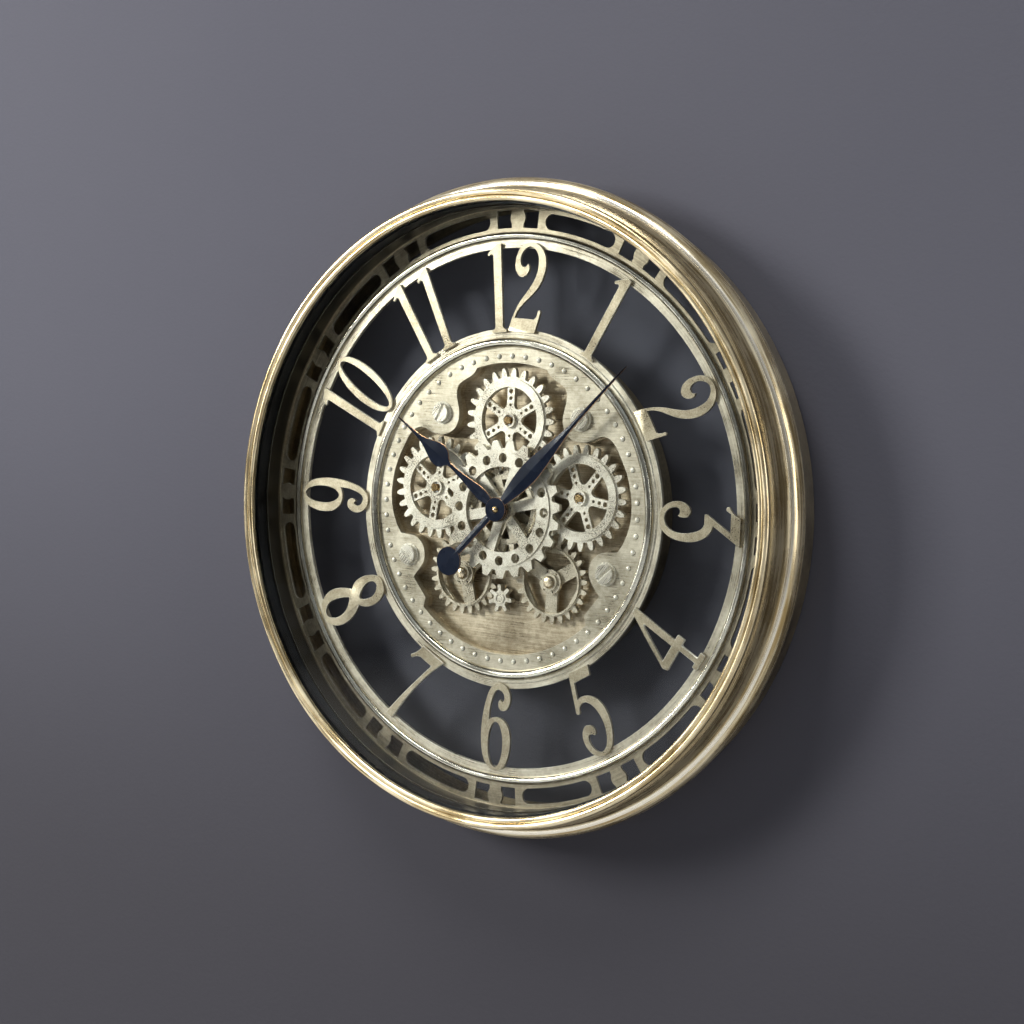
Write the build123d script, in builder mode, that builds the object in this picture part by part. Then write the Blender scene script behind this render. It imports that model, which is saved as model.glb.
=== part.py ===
from build123d import *
import math
import os

os.makedirs("parts", exist_ok=True)

# Skeleton wall clock with a moving gear train, all sizes in millimetres.
# The wall is the plane Y = 0 and the clock faces -Y.  +Z is up, twelve o'clock
# is at the top.  "Height" below always means distance from the wall.

# ---- overall sizes ----
rim_bore = 250.4
dial_face = 34.0
wall_back = 2.5

# ---- rim, each reach measured outwards from the bore ----
lip_overhang = 1.7
bead_reach = 8.4
cove_reach = 13.2
outer_bead_reach = 20.2
skirt_reach = 16.1
shell_wall = 1.6
shell_taper = 3.5
flange_inset = 4.4
rim_rear_height = 28.5
cove_height = 43.4
front_bead_height = 4.1

# ---- glass ----
glass_thickness = 3.0
glass_stand_off = 28.5
glass_gap = 0.4
retainer_width = 2.9
retainer_depth = 11.8

# ---- dial rings ----
sheet = 2.0
hour_ring_inner = 226.9
hour_wall_width = 4.1
hour_circle = 238.0
dot_radius = 7.4
dot_bridge = 11.4
window_inner = 229.9
window_outer = 244.5
window_half_angle = 4.9
slot_width = 12.9
slot_half_angle = 6.8
chapter_thickness = 3.5
chapter_inner = 213.7
outer_bead_width = 6.3
outer_bead_gap = 0.2
outer_bead_crest = 3.4
lap_width = 2.5
drum_radius = 138.0
inner_chapter_width = 10.2
inner_step_width = 2.6
inner_step_height = 0.9
inner_bead_outset = 2.7
inner_bead_width = 7.7
inner_bead_crest = 4.2

# ---- numerals ----
numeral_circle = 180.0
numeral_thickness = 2.6

# ---- dial plates ----
opening_radius = 120.2
front_plate = 6.0
spacer_plate = 7.0
back_plate = 1.5
spacer_setback = 1.2
rivet_circle = 125.6
rivet_radius = 2.3
rivet_shank = 1.1
rivet_height = 1.6
rivet_depth = 4.0
rivet_count = 60
upper_lug = (69.3, 76.6)
lower_lug = (98.8, -45.2)
lug_screw_radius = 8.2
lug_screw_height = 3.2
lug_slot = 2.0
lug_shank = 2.5
washer_rim = 1.6
washer_thickness = 0.8

# ---- drum back ----
cover_setback = 1.5
cover_thickness = 1.5
drum_wall = 2.0
pillar_inset = 9.0
pillar_radius = 4.0
pillar_count = 6
cover_screw_radius = 1.5
cover_screw_length = 8.0

# ---- gear train ----
upper_module = 3.175
upper_teeth = 25
centre_teeth = 21
lower_module = 2.65
lower_teeth = 24
drive_teeth = 30
pinion_teeth = 7
pinion_reach = 11.8
pinion_mesh = 10.2
side_elevation = 10.8
lower_elevation = -52.2
pinion_direction = -25.5
tooth_share = 0.455
top_tooth_angle = 0.5
gear_thickness = 4.0
gear_layer_gap = 1.0
front_gear_lift = 3.5
front_gear_thickness = 3.5
raised_ring = 1.4

# ---- running fits ----
run_fit = 0.05
stud_radius = 3.1
stud_neck = 0.1
stud_flange = 2.4
hour_tube_radius = 2.5
bushing_wall = 1.45
sleeve_wall = 2.95
minute_shaft_radius = 1.3
motor_shaft_radius = 2.0

# ---- hands ----
hand_thickness = 1.3
hand_hub = 10.0
hour_hand_length = 127.0
minute_hand_length = 169.0
hour_hand_angle = 304.0
minute_hand_angle = 44.7
hand_gap = 1.5

# ---- works behind the dial ----
works_clearance = 0.5
movement_size = 56.0
motor_width = 62.0
motor_tall = 44.0
case_wall = 1.6
case_gap = 0.5
cell_radius = 7.1
cell_length = 49.5
cell_clearance = 0.3
knob_radius = 7.5
switch_travel = 6.2

# ---- sizes that follow from the ones above ----
hanger_height = rim_bore + 3.6
bumper_circle = rim_bore + 4.1
lip_radius = rim_bore - lip_overhang
skirt_bore = rim_bore + skirt_reach
shell_back_radius = skirt_bore - shell_taper
flange_radius = rim_bore - flange_inset
overall_radius = rim_bore + outer_bead_reach
glass_front = dial_face + glass_stand_off + glass_thickness
glass_back = glass_front - glass_thickness
retainer_bore = rim_bore - retainer_width
retainer_back = glass_back - retainer_depth
hour_ring_wall = rim_bore - hour_wall_width
outer_bead_outer = hour_ring_inner - outer_bead_gap
outer_bead_inner = outer_bead_outer - outer_bead_width
lap_radius = hour_ring_inner + lap_width
inner_chapter_outer = drum_radius + inner_chapter_width
inner_bead_outer = drum_radius + inner_bead_outset
inner_bead_inner = inner_bead_outer - inner_bead_width
inner_step = inner_bead_outer + inner_step_width
chapter_back = dial_face - chapter_thickness
front_plate_back = dial_face - front_plate
back_plate_face = front_plate_back - spacer_plate
back_plate_back = back_plate_face - back_plate
washer_radius = lug_screw_radius + washer_rim
cover_back = wall_back + cover_setback
cover_front = cover_back + cover_thickness
pillar_circle = drum_radius - pillar_inset
upper_front = dial_face
upper_back = upper_front - gear_thickness
lower_front = upper_back - gear_layer_gap
lower_back = lower_front - gear_thickness
front_gear_back = upper_front + front_gear_lift
front_gear_face = front_gear_back + front_gear_thickness
sleeve_front = front_gear_face + 2.0
bushing_radius = hour_tube_radius + run_fit + bushing_wall
sleeve_radius = bushing_radius + run_fit + sleeve_wall
nut_back = sleeve_front + 0.3
nut_front = nut_back + 2.0
bushing_front = nut_front - 0.3
hour_hand_height = nut_front + 0.9
minute_hand_height = hour_hand_height + hand_thickness + hand_gap
works_back = wall_back + works_clearance
works_front = back_plate_back
upper_distance = (upper_teeth + centre_teeth) * upper_module / 2
lower_distance = (lower_teeth + drive_teeth) * lower_module / 2
pinion_distance = lower_teeth * lower_module / 2 + pinion_mesh


def facing(height):
    # A plane parallel to the wall, looking out at the room.
    return Plane.XZ.offset(height)


# Half section of a turned part: first number is radius, second is height.
section = Plane(origin=(0, 0, 0), x_dir=(1, 0, 0), z_dir=(0, 0, -1))


def polar(radius, angle):
    # Point at an angle measured anticlockwise from three o'clock.
    return (radius * math.cos(math.radians(angle)), radius * math.sin(math.radians(angle)))


def mirrored(point):
    return (-point[0], point[1])


# ---------------------------------------------------------------- gear shapes

def flank_angle(radius, pitch_radius, half_tooth):
    # Half the tooth's angle at a radius, for an involute flank of 20 degrees.
    base = pitch_radius * math.cos(math.radians(20))

    def involute(r):
        if r <= base:
            return 0.0
        t = math.sqrt((r / base) ** 2 - 1)
        return math.degrees(t - math.atan(t))

    return half_tooth + involute(pitch_radius) - involute(radius)


def involute_tooth(module, teeth):
    # One tooth pointing along the sketch's X axis, footed inside the root circle.
    pitch_radius = module * teeth / 2
    tip_radius = pitch_radius + module
    root_radius = pitch_radius - 1.2 * module
    half_tooth = 360 / teeth * tooth_share / 2
    at_root = flank_angle(root_radius, pitch_radius, half_tooth)
    at_pitch = flank_angle(pitch_radius, pitch_radius, half_tooth)
    at_tip = flank_angle(tip_radius, pitch_radius, half_tooth)
    with BuildSketch() as tooth:
        with BuildLine():
            Line(polar(root_radius - 1, at_root), polar(root_radius, at_root))
            ThreePointArc(
                polar(root_radius, at_root),
                polar(pitch_radius, at_pitch),
                polar(tip_radius, at_tip),
            )
            ThreePointArc(
                polar(tip_radius, at_tip), (tip_radius, 0), polar(tip_radius, -at_tip)
            )
            ThreePointArc(
                polar(tip_radius, -at_tip),
                polar(pitch_radius, -at_pitch),
                polar(root_radius, -at_root),
            )
            Line(polar(root_radius, -at_root), polar(root_radius - 1, -at_root))
            Line(polar(root_radius - 1, -at_root), polar(root_radius - 1, at_root))
        make_face()
    return tooth.sketch


def toothed_disc(module, teeth, first_tooth):
    tooth = involute_tooth(module, teeth)
    with BuildSketch() as disc:
        Circle(module * teeth / 2 - 1.2 * module)
        with PolarLocations(0, teeth, start_angle=first_tooth):
            add(tooth)
    return disc.sketch


def mated_tooth(direction, teeth_a, tooth_a, teeth_b):
    # Tooth angle that puts gear b in mesh with gear a, b lying in this direction.
    turned = (tooth_a - direction) * teeth_a / 360 + 0.5
    return (direction + 180 - turned * 360 / teeth_b) % 360


def spoke_window(outer_radius, spokes, spoke_width, corner):
    # The opening between two straight spokes, pointing along the X axis.
    half = 180 / spokes
    point = spoke_width / 2 / math.sin(math.radians(half))
    reach = outer_radius * 1.3
    with BuildSketch() as window:
        with BuildLine():
            Polyline(
                (point, 0),
                (point + reach * math.cos(math.radians(half)), reach * math.sin(math.radians(half))),
                (point + reach * math.cos(math.radians(half)), -reach * math.sin(math.radians(half))),
                (point, 0),
            )
        make_face()
        fillet(window.vertices().sort_by(Axis.X)[0], corner)
        Circle(outer_radius, mode=Mode.INTERSECT)
    return window.sketch


top_centre = polar(upper_distance, 90)
left_centre = polar(upper_distance, 180 - side_elevation)
right_centre = polar(upper_distance, side_elevation)
lower_left_centre = polar(lower_distance, 180 - lower_elevation)
lower_right_centre = polar(lower_distance, lower_elevation)
pinion_centre = (
    lower_left_centre[0] + polar(pinion_distance, pinion_direction)[0],
    lower_left_centre[1] + polar(pinion_distance, pinion_direction)[1],
)
upper_centres = [top_centre, left_centre, right_centre]
lower_centres = [lower_left_centre, lower_right_centre]

centre_tooth = mated_tooth(270, upper_teeth, top_tooth_angle, centre_teeth)
left_tooth = mated_tooth(180 - side_elevation, centre_teeth, centre_tooth, upper_teeth)
right_tooth = mated_tooth(side_elevation, centre_teeth, centre_tooth, upper_teeth)
drive_tooth = mated_tooth(-lower_elevation, lower_teeth, 13.8, drive_teeth)
lower_left_tooth = mated_tooth(180 - lower_elevation, drive_teeth, drive_tooth, lower_teeth)
lower_right_tooth = mated_tooth(lower_elevation, drive_teeth, drive_tooth, lower_teeth)
pinion_tooth = mated_tooth(pinion_direction, lower_teeth, lower_left_tooth, pinion_teeth)


def upper_gear(centre, first_tooth, first_spoke):
    # Six spoked wheel: tooth rim, raised ring, drilled spokes, hub with a recess.
    root_radius = upper_module * (upper_teeth / 2 - 1.2)
    ring_outer = root_radius - 1.58
    ring_inner = root_radius - 8.48
    with BuildPart() as gear:
        with BuildSketch(facing(upper_back)):
            with Locations(centre):
                add(toothed_disc(upper_module, upper_teeth, first_tooth))
        extrude(amount=gear_thickness)
        with BuildSketch(facing(upper_front)):
            with Locations(centre):
                Circle(ring_outer)
        extrude(amount=raised_ring)
        with BuildSketch(facing(upper_back)):
            with Locations(centre):
                with PolarLocations(0, 6, start_angle=first_spoke + 30):
                    add(spoke_window(ring_inner, 6, 7.2, 4.0))
        extrude(amount=gear_thickness + 2, mode=Mode.SUBTRACT)
        with BuildSketch(facing(upper_front)):
            with Locations(centre):
                Circle(ring_inner)
        extrude(amount=raised_ring, mode=Mode.SUBTRACT)
        with BuildSketch(facing(upper_front)):
            with Locations(centre):
                Circle(stud_radius + 3.1)
        extrude(amount=2.2)
        with BuildSketch(facing(upper_back)):
            with Locations(centre):
                Circle(stud_radius + run_fit)
        extrude(amount=gear_thickness + 4, mode=Mode.SUBTRACT)
        with BuildSketch(facing(upper_front - 0.8)):
            with Locations(centre):
                Circle(stud_radius + 1.6)
        extrude(amount=4, mode=Mode.SUBTRACT)
        with BuildSketch(facing(upper_back)):
            for inset, bore in [(14.7, 1.2), (9.2, 1.6), (3.5, 2.0)]:
                with Locations(centre):
                    with PolarLocations(ring_inner - inset, 6, start_angle=first_spoke):
                        Circle(bore)
        extrude(amount=gear_thickness + 2, mode=Mode.SUBTRACT)
    return gear


def lower_gear(centre, first_tooth, first_spoke):
    # Three broad spokes, a fine raised rim bead and a stepped collar.
    root_radius = lower_module * (lower_teeth / 2 - 1.2)
    bead_outer = root_radius - 1.02
    bead_inner = root_radius - 2.72
    web_front = lower_front - 1.2
    with BuildPart() as gear:
        with BuildSketch(facing(lower_back)):
            with Locations(centre):
                add(toothed_disc(lower_module, lower_teeth, first_tooth))
        extrude(amount=gear_thickness)
        with BuildSketch(facing(lower_front)):
            with Locations(centre):
                Circle(bead_outer)
                Circle(bead_inner, mode=Mode.SUBTRACT)
        extrude(amount=1.6)
        with BuildSketch(facing(web_front)):
            with Locations(centre):
                Circle(bead_inner)
        extrude(amount=3, mode=Mode.SUBTRACT)
        with BuildSketch(facing(lower_back)):
            with Locations(centre):
                with PolarLocations(0, 3, start_angle=first_spoke + 60):
                    add(spoke_window(bead_inner, 3, 11.4, 1.5))
        extrude(amount=gear_thickness, mode=Mode.SUBTRACT)
        with BuildSketch(facing(web_front)):
            with Locations(centre):
                Circle(stud_radius + 7.1)
        extrude(amount=3.0)
        with BuildSketch(facing(web_front + 3.0)):
            with Locations(centre):
                Circle(stud_radius + 4.1)
        extrude(amount=1.6)
        with BuildSketch(facing(lower_front)):
            with Locations(centre):
                with PolarLocations(stud_radius + 5.6, 6, start_angle=first_spoke + 20):
                    Circle(0.8)
        extrude(amount=3, mode=Mode.SUBTRACT)
        with BuildSketch(facing(lower_back)):
            with Locations(centre):
                Circle(stud_radius + run_fit)
        extrude(amount=gear_thickness + 5, mode=Mode.SUBTRACT)
    return gear


# ---------------------------------------------------------------- rim

with BuildPart() as rim_front_moulding:
    # Double bead at the front, a hollow cove, then the large bead at the rear.
    with BuildSketch(section):
        with BuildLine():
            Line((rim_bore, dial_face), (rim_bore, glass_front))
            Line((rim_bore, glass_front), (lip_radius, glass_front))
            Line((lip_radius, glass_front), (lip_radius, glass_front + 1.3))
            ThreePointArc(
                (lip_radius, glass_front + 1.3),
                (rim_bore + 0.5, glass_front + 3.8),
                (rim_bore + 2.9, glass_front + 2.1),
            )
            ThreePointArc(
                (rim_bore + 2.9, glass_front + 2.1),
                (rim_bore + 5.8, glass_front + front_bead_height),
                (rim_bore + bead_reach, glass_front + 0.4),
            )
            Line(
                (rim_bore + bead_reach, glass_front + 0.4),
                (rim_bore + bead_reach - 0.5, glass_front - 0.7),
            )
            ThreePointArc(
                (rim_bore + bead_reach - 0.5, glass_front - 0.7),
                (rim_bore + bead_reach, (glass_front + cove_height) / 2 - 1.95),
                (rim_bore + cove_reach, cove_height),
            )
            Line((rim_bore + cove_reach, cove_height), (rim_bore + cove_reach + 1.8, cove_height))
            ThreePointArc(
                (rim_bore + cove_reach + 1.8, cove_height),
                (overall_radius, (cove_height + rim_rear_height) / 2 + 0.05),
                (skirt_bore + 2.1, rim_rear_height),
            )
            Line((skirt_bore + 2.1, rim_rear_height), (skirt_bore, rim_rear_height))
            Line((skirt_bore, rim_rear_height), (skirt_bore, rim_rear_height + 9.0))
            Line(
                (skirt_bore, rim_rear_height + 9.0),
                (rim_bore + 12.0, rim_rear_height + 11.5),
            )
            ThreePointArc(
                (rim_bore + 12.0, rim_rear_height + 11.5),
                (rim_bore + 6.4, (glass_back + rim_rear_height + 11.5) / 2 - 0.25),
                (rim_bore + 5.8, glass_back - 0.5),
            )
            Line((rim_bore + 5.8, glass_back - 0.5), (rim_bore + 2.0, glass_back - 0.5))
            Line((rim_bore + 2.0, glass_back - 0.5), (rim_bore + 2.0, dial_face))
            Line((rim_bore + 2.0, dial_face), (rim_bore, dial_face))
        make_face()
    revolve(axis=Axis.Y)
rim_front_moulding.part.label = "rim_front_moulding"
export_step(rim_front_moulding.part, "parts/rim_front_moulding.step")

with BuildPart() as rim_back_shell:
    # Spun side wall with a turned-in back flange, open behind the dial.
    with BuildSketch(section):
        with BuildLine():
            Polyline(
                (skirt_bore, rim_rear_height + 7.5),
                (skirt_bore, rim_rear_height),
                (skirt_bore + 1.9, rim_rear_height),
                (shell_back_radius, wall_back),
                (flange_radius, wall_back),
                (flange_radius, wall_back + shell_wall),
                (shell_back_radius - 1.8, wall_back + shell_wall),
                (skirt_bore - shell_wall, rim_rear_height - 6.5),
                (skirt_bore - shell_wall, rim_rear_height + 7.5),
                (skirt_bore, rim_rear_height + 7.5),
            )
        make_face()
    revolve(axis=Axis.Y)
    # Clearance for the wall hook's head behind the hanger.
    with BuildSketch(facing(wall_back - 1)):
        with Locations((0, hanger_height + 0.5)):
            SlotOverall(15, 11, rotation=90)
    extrude(amount=shell_wall + 2, mode=Mode.SUBTRACT)
rim_back_shell.part.label = "rim_back_shell"
export_step(rim_back_shell.part, "parts/rim_back_shell.step")

with BuildPart() as glass_lens:
    with BuildSketch(facing(glass_back)):
        Circle(rim_bore - glass_gap)
    extrude(amount=glass_thickness)
glass_lens.part.label = "glass_lens"
export_step(glass_lens.part, "parts/glass_lens.step")

with BuildPart() as glass_retaining_ring:
    with BuildSketch(facing(retainer_back)):
        Circle(rim_bore)
        Circle(retainer_bore, mode=Mode.SUBTRACT)
    extrude(amount=retainer_depth)
glass_retaining_ring.part.label = "glass_retaining_ring"
export_step(glass_retaining_ring.part, "parts/glass_retaining_ring.step")

# ---------------------------------------------------------------- dial rings

# Two small windows flank a round dot at every hour.
with BuildSketch() as window_pair:
    with BuildLine():
        Line(polar(window_inner, -window_half_angle), polar(window_outer, -window_half_angle))
        ThreePointArc(
            polar(window_outer, -window_half_angle),
            (window_outer, 0),
            polar(window_outer, window_half_angle),
        )
        Line(polar(window_outer, window_half_angle), polar(window_inner, window_half_angle))
        ThreePointArc(
            polar(window_inner, window_half_angle),
            (window_inner, 0),
            polar(window_inner, -window_half_angle),
        )
    make_face()
    with Locations((hour_circle, 0)):
        Circle(dot_radius, mode=Mode.SUBTRACT)
        Rectangle(40, dot_bridge, mode=Mode.SUBTRACT)

# A long slot with round ends between every two hours.
slot_circle = window_inner + slot_width / 2
slot_arc = CenterArc((0, 0), slot_circle, -slot_half_angle, 2 * slot_half_angle)
with BuildSketch() as long_slot:
    SlotArc(slot_arc, slot_width)

with BuildPart() as hour_ring:
    with BuildSketch(facing(dial_face - sheet)):
        Circle(rim_bore)
        Circle(hour_ring_inner, mode=Mode.SUBTRACT)
    extrude(amount=sheet)
    with BuildSketch(facing(dial_face)):
        Circle(rim_bore)
        Circle(hour_ring_wall, mode=Mode.SUBTRACT)
    extrude(amount=retainer_back - dial_face)
    with BuildSketch(facing(dial_face - sheet)):
        with PolarLocations(0, 12):
            add(window_pair.sketch)
    extrude(amount=sheet, mode=Mode.SUBTRACT)
    with BuildSketch(facing(dial_face - sheet)):
        with PolarLocations(0, 12, start_angle=15):
            add(long_slot.sketch)
    extrude(amount=sheet, mode=Mode.SUBTRACT)
hour_ring.part.label = "hour_ring"
export_step(hour_ring.part, "parts/hour_ring.step")

with BuildPart() as outer_chapter_ring:
    # Flat ring that carries the numerals, lapped under the hour ring.
    with BuildSketch(section):
        with BuildLine():
            Polyline(
                (chapter_inner, chapter_back),
                (lap_radius, chapter_back),
                (lap_radius, dial_face - sheet),
                (hour_ring_inner, dial_face - sheet),
                (hour_ring_inner, dial_face),
                (chapter_inner, dial_face),
                (chapter_inner, chapter_back),
            )
        make_face()
    revolve(axis=Axis.Y)
outer_chapter_ring.part.label = "outer_chapter_ring"
export_step(outer_chapter_ring.part, "parts/outer_chapter_ring.step")


def bead_section(inner, outer, crest):
    # Half round bead standing on the dial face.
    middle = (inner + outer) / 2
    with BuildSketch() as bead:
        with BuildLine():
            Line((inner, dial_face), (inner, dial_face + 0.7))
            ThreePointArc((inner, dial_face + 0.7), (middle, crest), (outer, dial_face + 0.7))
            Line((outer, dial_face + 0.7), (outer, dial_face))
            Line((outer, dial_face), (inner, dial_face))
        make_face()
    return bead.sketch


with BuildPart() as outer_bead_ring:
    with BuildSketch(section):
        add(bead_section(outer_bead_inner, outer_bead_outer, dial_face + outer_bead_crest))
    revolve(axis=Axis.Y)
outer_bead_ring.part.label = "outer_bead_ring"
export_step(outer_bead_ring.part, "parts/outer_bead_ring.step")

with BuildPart() as inner_chapter_ring:
    # Flat ring at the numerals' feet, with a fine step beside the bead.
    with BuildSketch(section):
        with BuildLine():
            Polyline(
                (drum_radius, chapter_back),
                (inner_chapter_outer, chapter_back),
                (inner_chapter_outer, dial_face),
                (inner_step, dial_face),
                (inner_step, dial_face + inner_step_height),
                (inner_bead_outer, dial_face + inner_step_height),
                (inner_bead_outer, dial_face),
                (drum_radius, dial_face),
                (drum_radius, chapter_back),
            )
        make_face()
    revolve(axis=Axis.Y)
inner_chapter_ring.part.label = "inner_chapter_ring"
export_step(inner_chapter_ring.part, "parts/inner_chapter_ring.step")

with BuildPart() as inner_bead_ring:
    with BuildSketch(section):
        add(bead_section(inner_bead_inner, inner_bead_outer, dial_face + inner_bead_crest))
    revolve(axis=Axis.Y)
inner_bead_ring.part.label = "inner_bead_ring"
export_step(inner_bead_ring.part, "parts/inner_bead_ring.step")


# ---------------------------------------------------------------- numerals
# Each digit is 73 mm tall about its own centre.  Feet and crowns lap the two
# chapter rings, which is what joins the inner drum to the outer ring.

def digit_one():
    with BuildSketch() as digit:
        with BuildLine():
            Polyline((0.2, 37.6), (4.2, 37.6), (3.7, -30.0))
            ThreePointArc((3.7, -30.0), (4.6, -31.6), (7.0, -32.6))
            Polyline((7.0, -32.6), (7.0, -35.0), (-7.0, -35.0), (-7.0, -32.6))
            ThreePointArc((-7.0, -32.6), (-4.6, -31.6), (-3.7, -30.0))
            Polyline((-3.7, -30.0), (-3.9, 28.6), (-5.4, 29.6), (-7.9, 28.4))
            ThreePointArc((-7.9, 28.4), (-9.2, 29.0), (-9.0, 30.6))
            Polyline((-9.0, 30.6), (-4.2, 34.6), (0.2, 37.6))
        make_face()
    return digit.sketch


def digit_two():
    with BuildSketch() as digit:
        with BuildLine():
            Spline(
                (-13.6, -34.6), (-12.0, -27.0), (-5.4, -11.0), (2.6, 0.4),
                (8.4, 11.0), (10.0, 21.0), (8.0, 30.0), (0.0, 34.9),
                (-6.2, 30.4), (-8.0, 23.0), (-5.6, 18.6), (-2.2, 18.7), (-0.7, 21.2),
            )
            Spline(
                (-0.7, 21.2), (1.4, 18.2), (0.4, 13.8), (-5.4, 9.9),
                (-11.6, 14.6), (-12.8, 23.6), (-9.2, 33.6), (0.4, 38.4),
                (10.6, 35.4), (16.6, 26.0), (16.6, 14.0), (12.6, 4.0),
                (5.4, -5.0), (-3.2, -13.6), (-8.4, -23.4),
            )
            Line((-8.4, -23.4), (10.6, -23.4))
            ThreePointArc((10.6, -23.4), (12.6, -20.6), (13.5, -16.6))
            ThreePointArc((13.5, -16.6), (15.0, -15.6), (16.0, -17.6))
            Line((16.0, -17.6), (12.2, -34.6))
            Line((12.2, -34.6), (-13.6, -34.6))
        make_face()
    return digit.sketch


def digit_three():
    with BuildSketch() as digit:
        with BuildLine():
            Polyline((-7.6, 38.0), (14.8, 38.0), (0.0, 14.6))
            Spline(
                (0.0, 14.6), (7.4, 10.4), (12.6, 1.0), (13.8, -10.0),
                (11.8, -21.4), (6.6, -29.6), (-1.0, -33.2), (-9.0, -32.0),
                (-15.4, -25.2), (-17.3, -16.0), (-15.0, -9.0), (-10.6, -5.6),
                (-6.4, -7.0), (-4.8, -11.6), (-6.2, -16.8),
            )
            Spline(
                (-6.2, -16.8), (-8.6, -14.9), (-11.6, -15.8), (-12.4, -20.0),
                (-9.4, -26.4), (-3.4, -28.8), (3.0, -26.0), (6.8, -18.6),
                (7.2, -9.6), (5.4, -0.6), (2.8, 4.6), (-1.0, 6.9),
            )
            Polyline((-1.0, 6.9), (-8.4, 6.9), (-9.0, 8.6), (4.4, 29.9), (-10.2, 29.9))
            Line((-10.2, 29.9), (-12.4, 26.2))
            ThreePointArc((-12.4, 26.2), (-14.4, 25.6), (-15.2, 28.4))
            ThreePointArc((-15.2, 28.4), (-10.8, 31.6), (-7.6, 38.0))
        make_face()
    return digit.sketch


def digit_four():
    with BuildSketch() as digit:
        with BuildLine():
            Polyline(
                (0.0, 34.6), (5.0, 34.6), (4.5, -8.6), (9.6, -8.6), (9.6, -16.4),
                (4.5, -16.4), (4.5, -32.4), (9.8, -32.4), (9.8, -37.6), (-4.8, -37.6),
                (-4.8, -32.4), (-0.7, -32.4), (-0.7, -16.6), (-19.6, -16.8),
                (-21.2, -12.0), (-14.6, 3.6), (0.0, 34.6),
            )
        make_face()
        with BuildLine():
            Polyline((-1.6, -8.7), (-15.9, -8.7), (-3.2, 19.8), (-1.6, 19.8), (-1.6, -8.7))
        make_face(mode=Mode.SUBTRACT)
    return digit.sketch


def digit_five():
    with BuildSketch() as digit:
        with BuildLine():
            Polyline((-6.2, 12.0), (-3.0, 25.5), (13.6, 25.5), (15.6, 34.0), (-4.6, 34.6))
            Line((-4.6, 34.6), (-12.0, 3.4))
            ThreePointArc((-12.0, 3.4), (-10.4, 1.1), (-8.4, 3.2))
            Spline(
                (-8.4, 3.2), (-5.4, 7.2), (-1.0, 7.9), (3.8, 4.2),
                (7.4, -4.0), (8.4, -14.0), (6.2, -24.6), (1.4, -32.0),
                (-3.6, -33.8), (-8.8, -29.8), (-10.8, -22.6), (-9.2, -17.6),
                (-6.6, -17.6), (-4.0, -19.6),
            )
            Spline(
                (-4.0, -19.6), (-1.7, -16.6), (-2.8, -12.2), (-8.2, -9.4),
                (-13.8, -13.6), (-15.8, -21.6), (-13.6, -30.4), (-8.0, -36.2),
                (-0.6, -37.2), (6.6, -33.6), (12.4, -24.0), (15.3, -10.6),
                (13.6, 1.4), (8.2, 9.0), (1.6, 12.6), (-6.2, 12.0),
            )
        make_face()
    return digit.sketch


def digit_six():
    with BuildSketch() as digit:
        with BuildLine():
            Spline(
                (-7.6, 4.8), (-7.0, 13.0), (-4.6, 23.4), (0.6, 30.5),
                (6.0, 28.2), (7.2, 23.2), (5.8, 20.9), (3.4, 22.8),
            )
            Spline(
                (3.4, 22.8), (1.5, 19.4), (3.0, 14.6), (7.6, 13.6),
                (12.2, 18.4), (12.8, 27.2), (8.6, 33.8), (1.0, 36.0),
                (-5.4, 32.6), (-10.4, 23.0), (-13.6, 9.0), (-14.9, -7.0),
                (-13.6, -21.0), (-8.8, -32.4), (-0.6, -37.0), (7.6, -34.2),
                (13.2, -23.0), (14.5, -10.0), (11.6, 0.8), (6.4, 6.2),
                (0.0, 7.6), (-7.6, 4.8),
            )
        make_face()
        with Locations((-0.4, -15.2)):
            Ellipse(7.4, 18.8, mode=Mode.SUBTRACT)
    return digit.sketch


def digit_seven():
    with BuildSketch() as digit:
        with BuildLine():
            Line((-7.6, 36.0), (18.8, 36.0))
            Spline((18.8, 36.0), (13.6, 25.0), (4.2, -4.0), (-0.8, -36.8))
            Line((-0.8, -36.8), (-9.4, -36.8))
            Spline((-9.4, -36.8), (-5.6, -21.0), (2.0, 5.0), (8.6, 25.7))
            Line((8.6, 25.7), (-5.0, 25.7))
            ThreePointArc((-5.0, 25.7), (-8.6, 23.6), (-11.4, 20.4))
            ThreePointArc((-11.4, 20.4), (-13.4, 20.4), (-13.9, 22.6))
            ThreePointArc((-13.9, 22.6), (-9.6, 28.6), (-7.6, 36.0))
        make_face()
    return digit.sketch


def digit_eight():
    with BuildSketch() as digit:
        with BuildLine():
            Spline(
                (-9.4, 3.0), (-13.6, 9.0), (-14.4, 17.0), (-11.6, 27.6),
                (-6.0, 34.6), (0.6, 36.0), (7.6, 33.2), (12.0, 25.6),
                (12.4, 16.2), (6.0, 3.6),
            )
            Spline(
                (6.0, 3.6), (11.2, -4.6), (13.7, -15.0), (12.6, -25.0),
                (8.0, -33.0), (-1.0, -37.2), (-10.4, -35.4), (-16.4, -28.6),
                (-18.4, -19.0), (-16.4, -9.6), (-9.4, 3.0),
            )
        make_face()
        with BuildLine():
            Spline(
                (-1.4, 29.4), (-6.0, 26.6), (-7.0, 20.8), (-4.6, 13.0),
                (1.2, 7.4), (4.4, 12.6), (5.0, 22.0), (-1.4, 29.4), periodic=False,
            )
        make_face(mode=Mode.SUBTRACT)
        with BuildLine():
            Spline(
                (-4.4, -3.0), (1.8, -8.4), (5.4, -16.6), (4.2, -27.4),
                (-1.6, -33.3), (-7.8, -29.6), (-9.4, -18.0), (-4.4, -3.0), periodic=False,
            )
        make_face(mode=Mode.SUBTRACT)
    return digit.sketch


def digit_nine():
    with BuildSketch() as digit:
        with Locations(Location((0, 0, 0), (0, 0, 180))):
            add(digit_six())
    return digit.sketch


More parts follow.
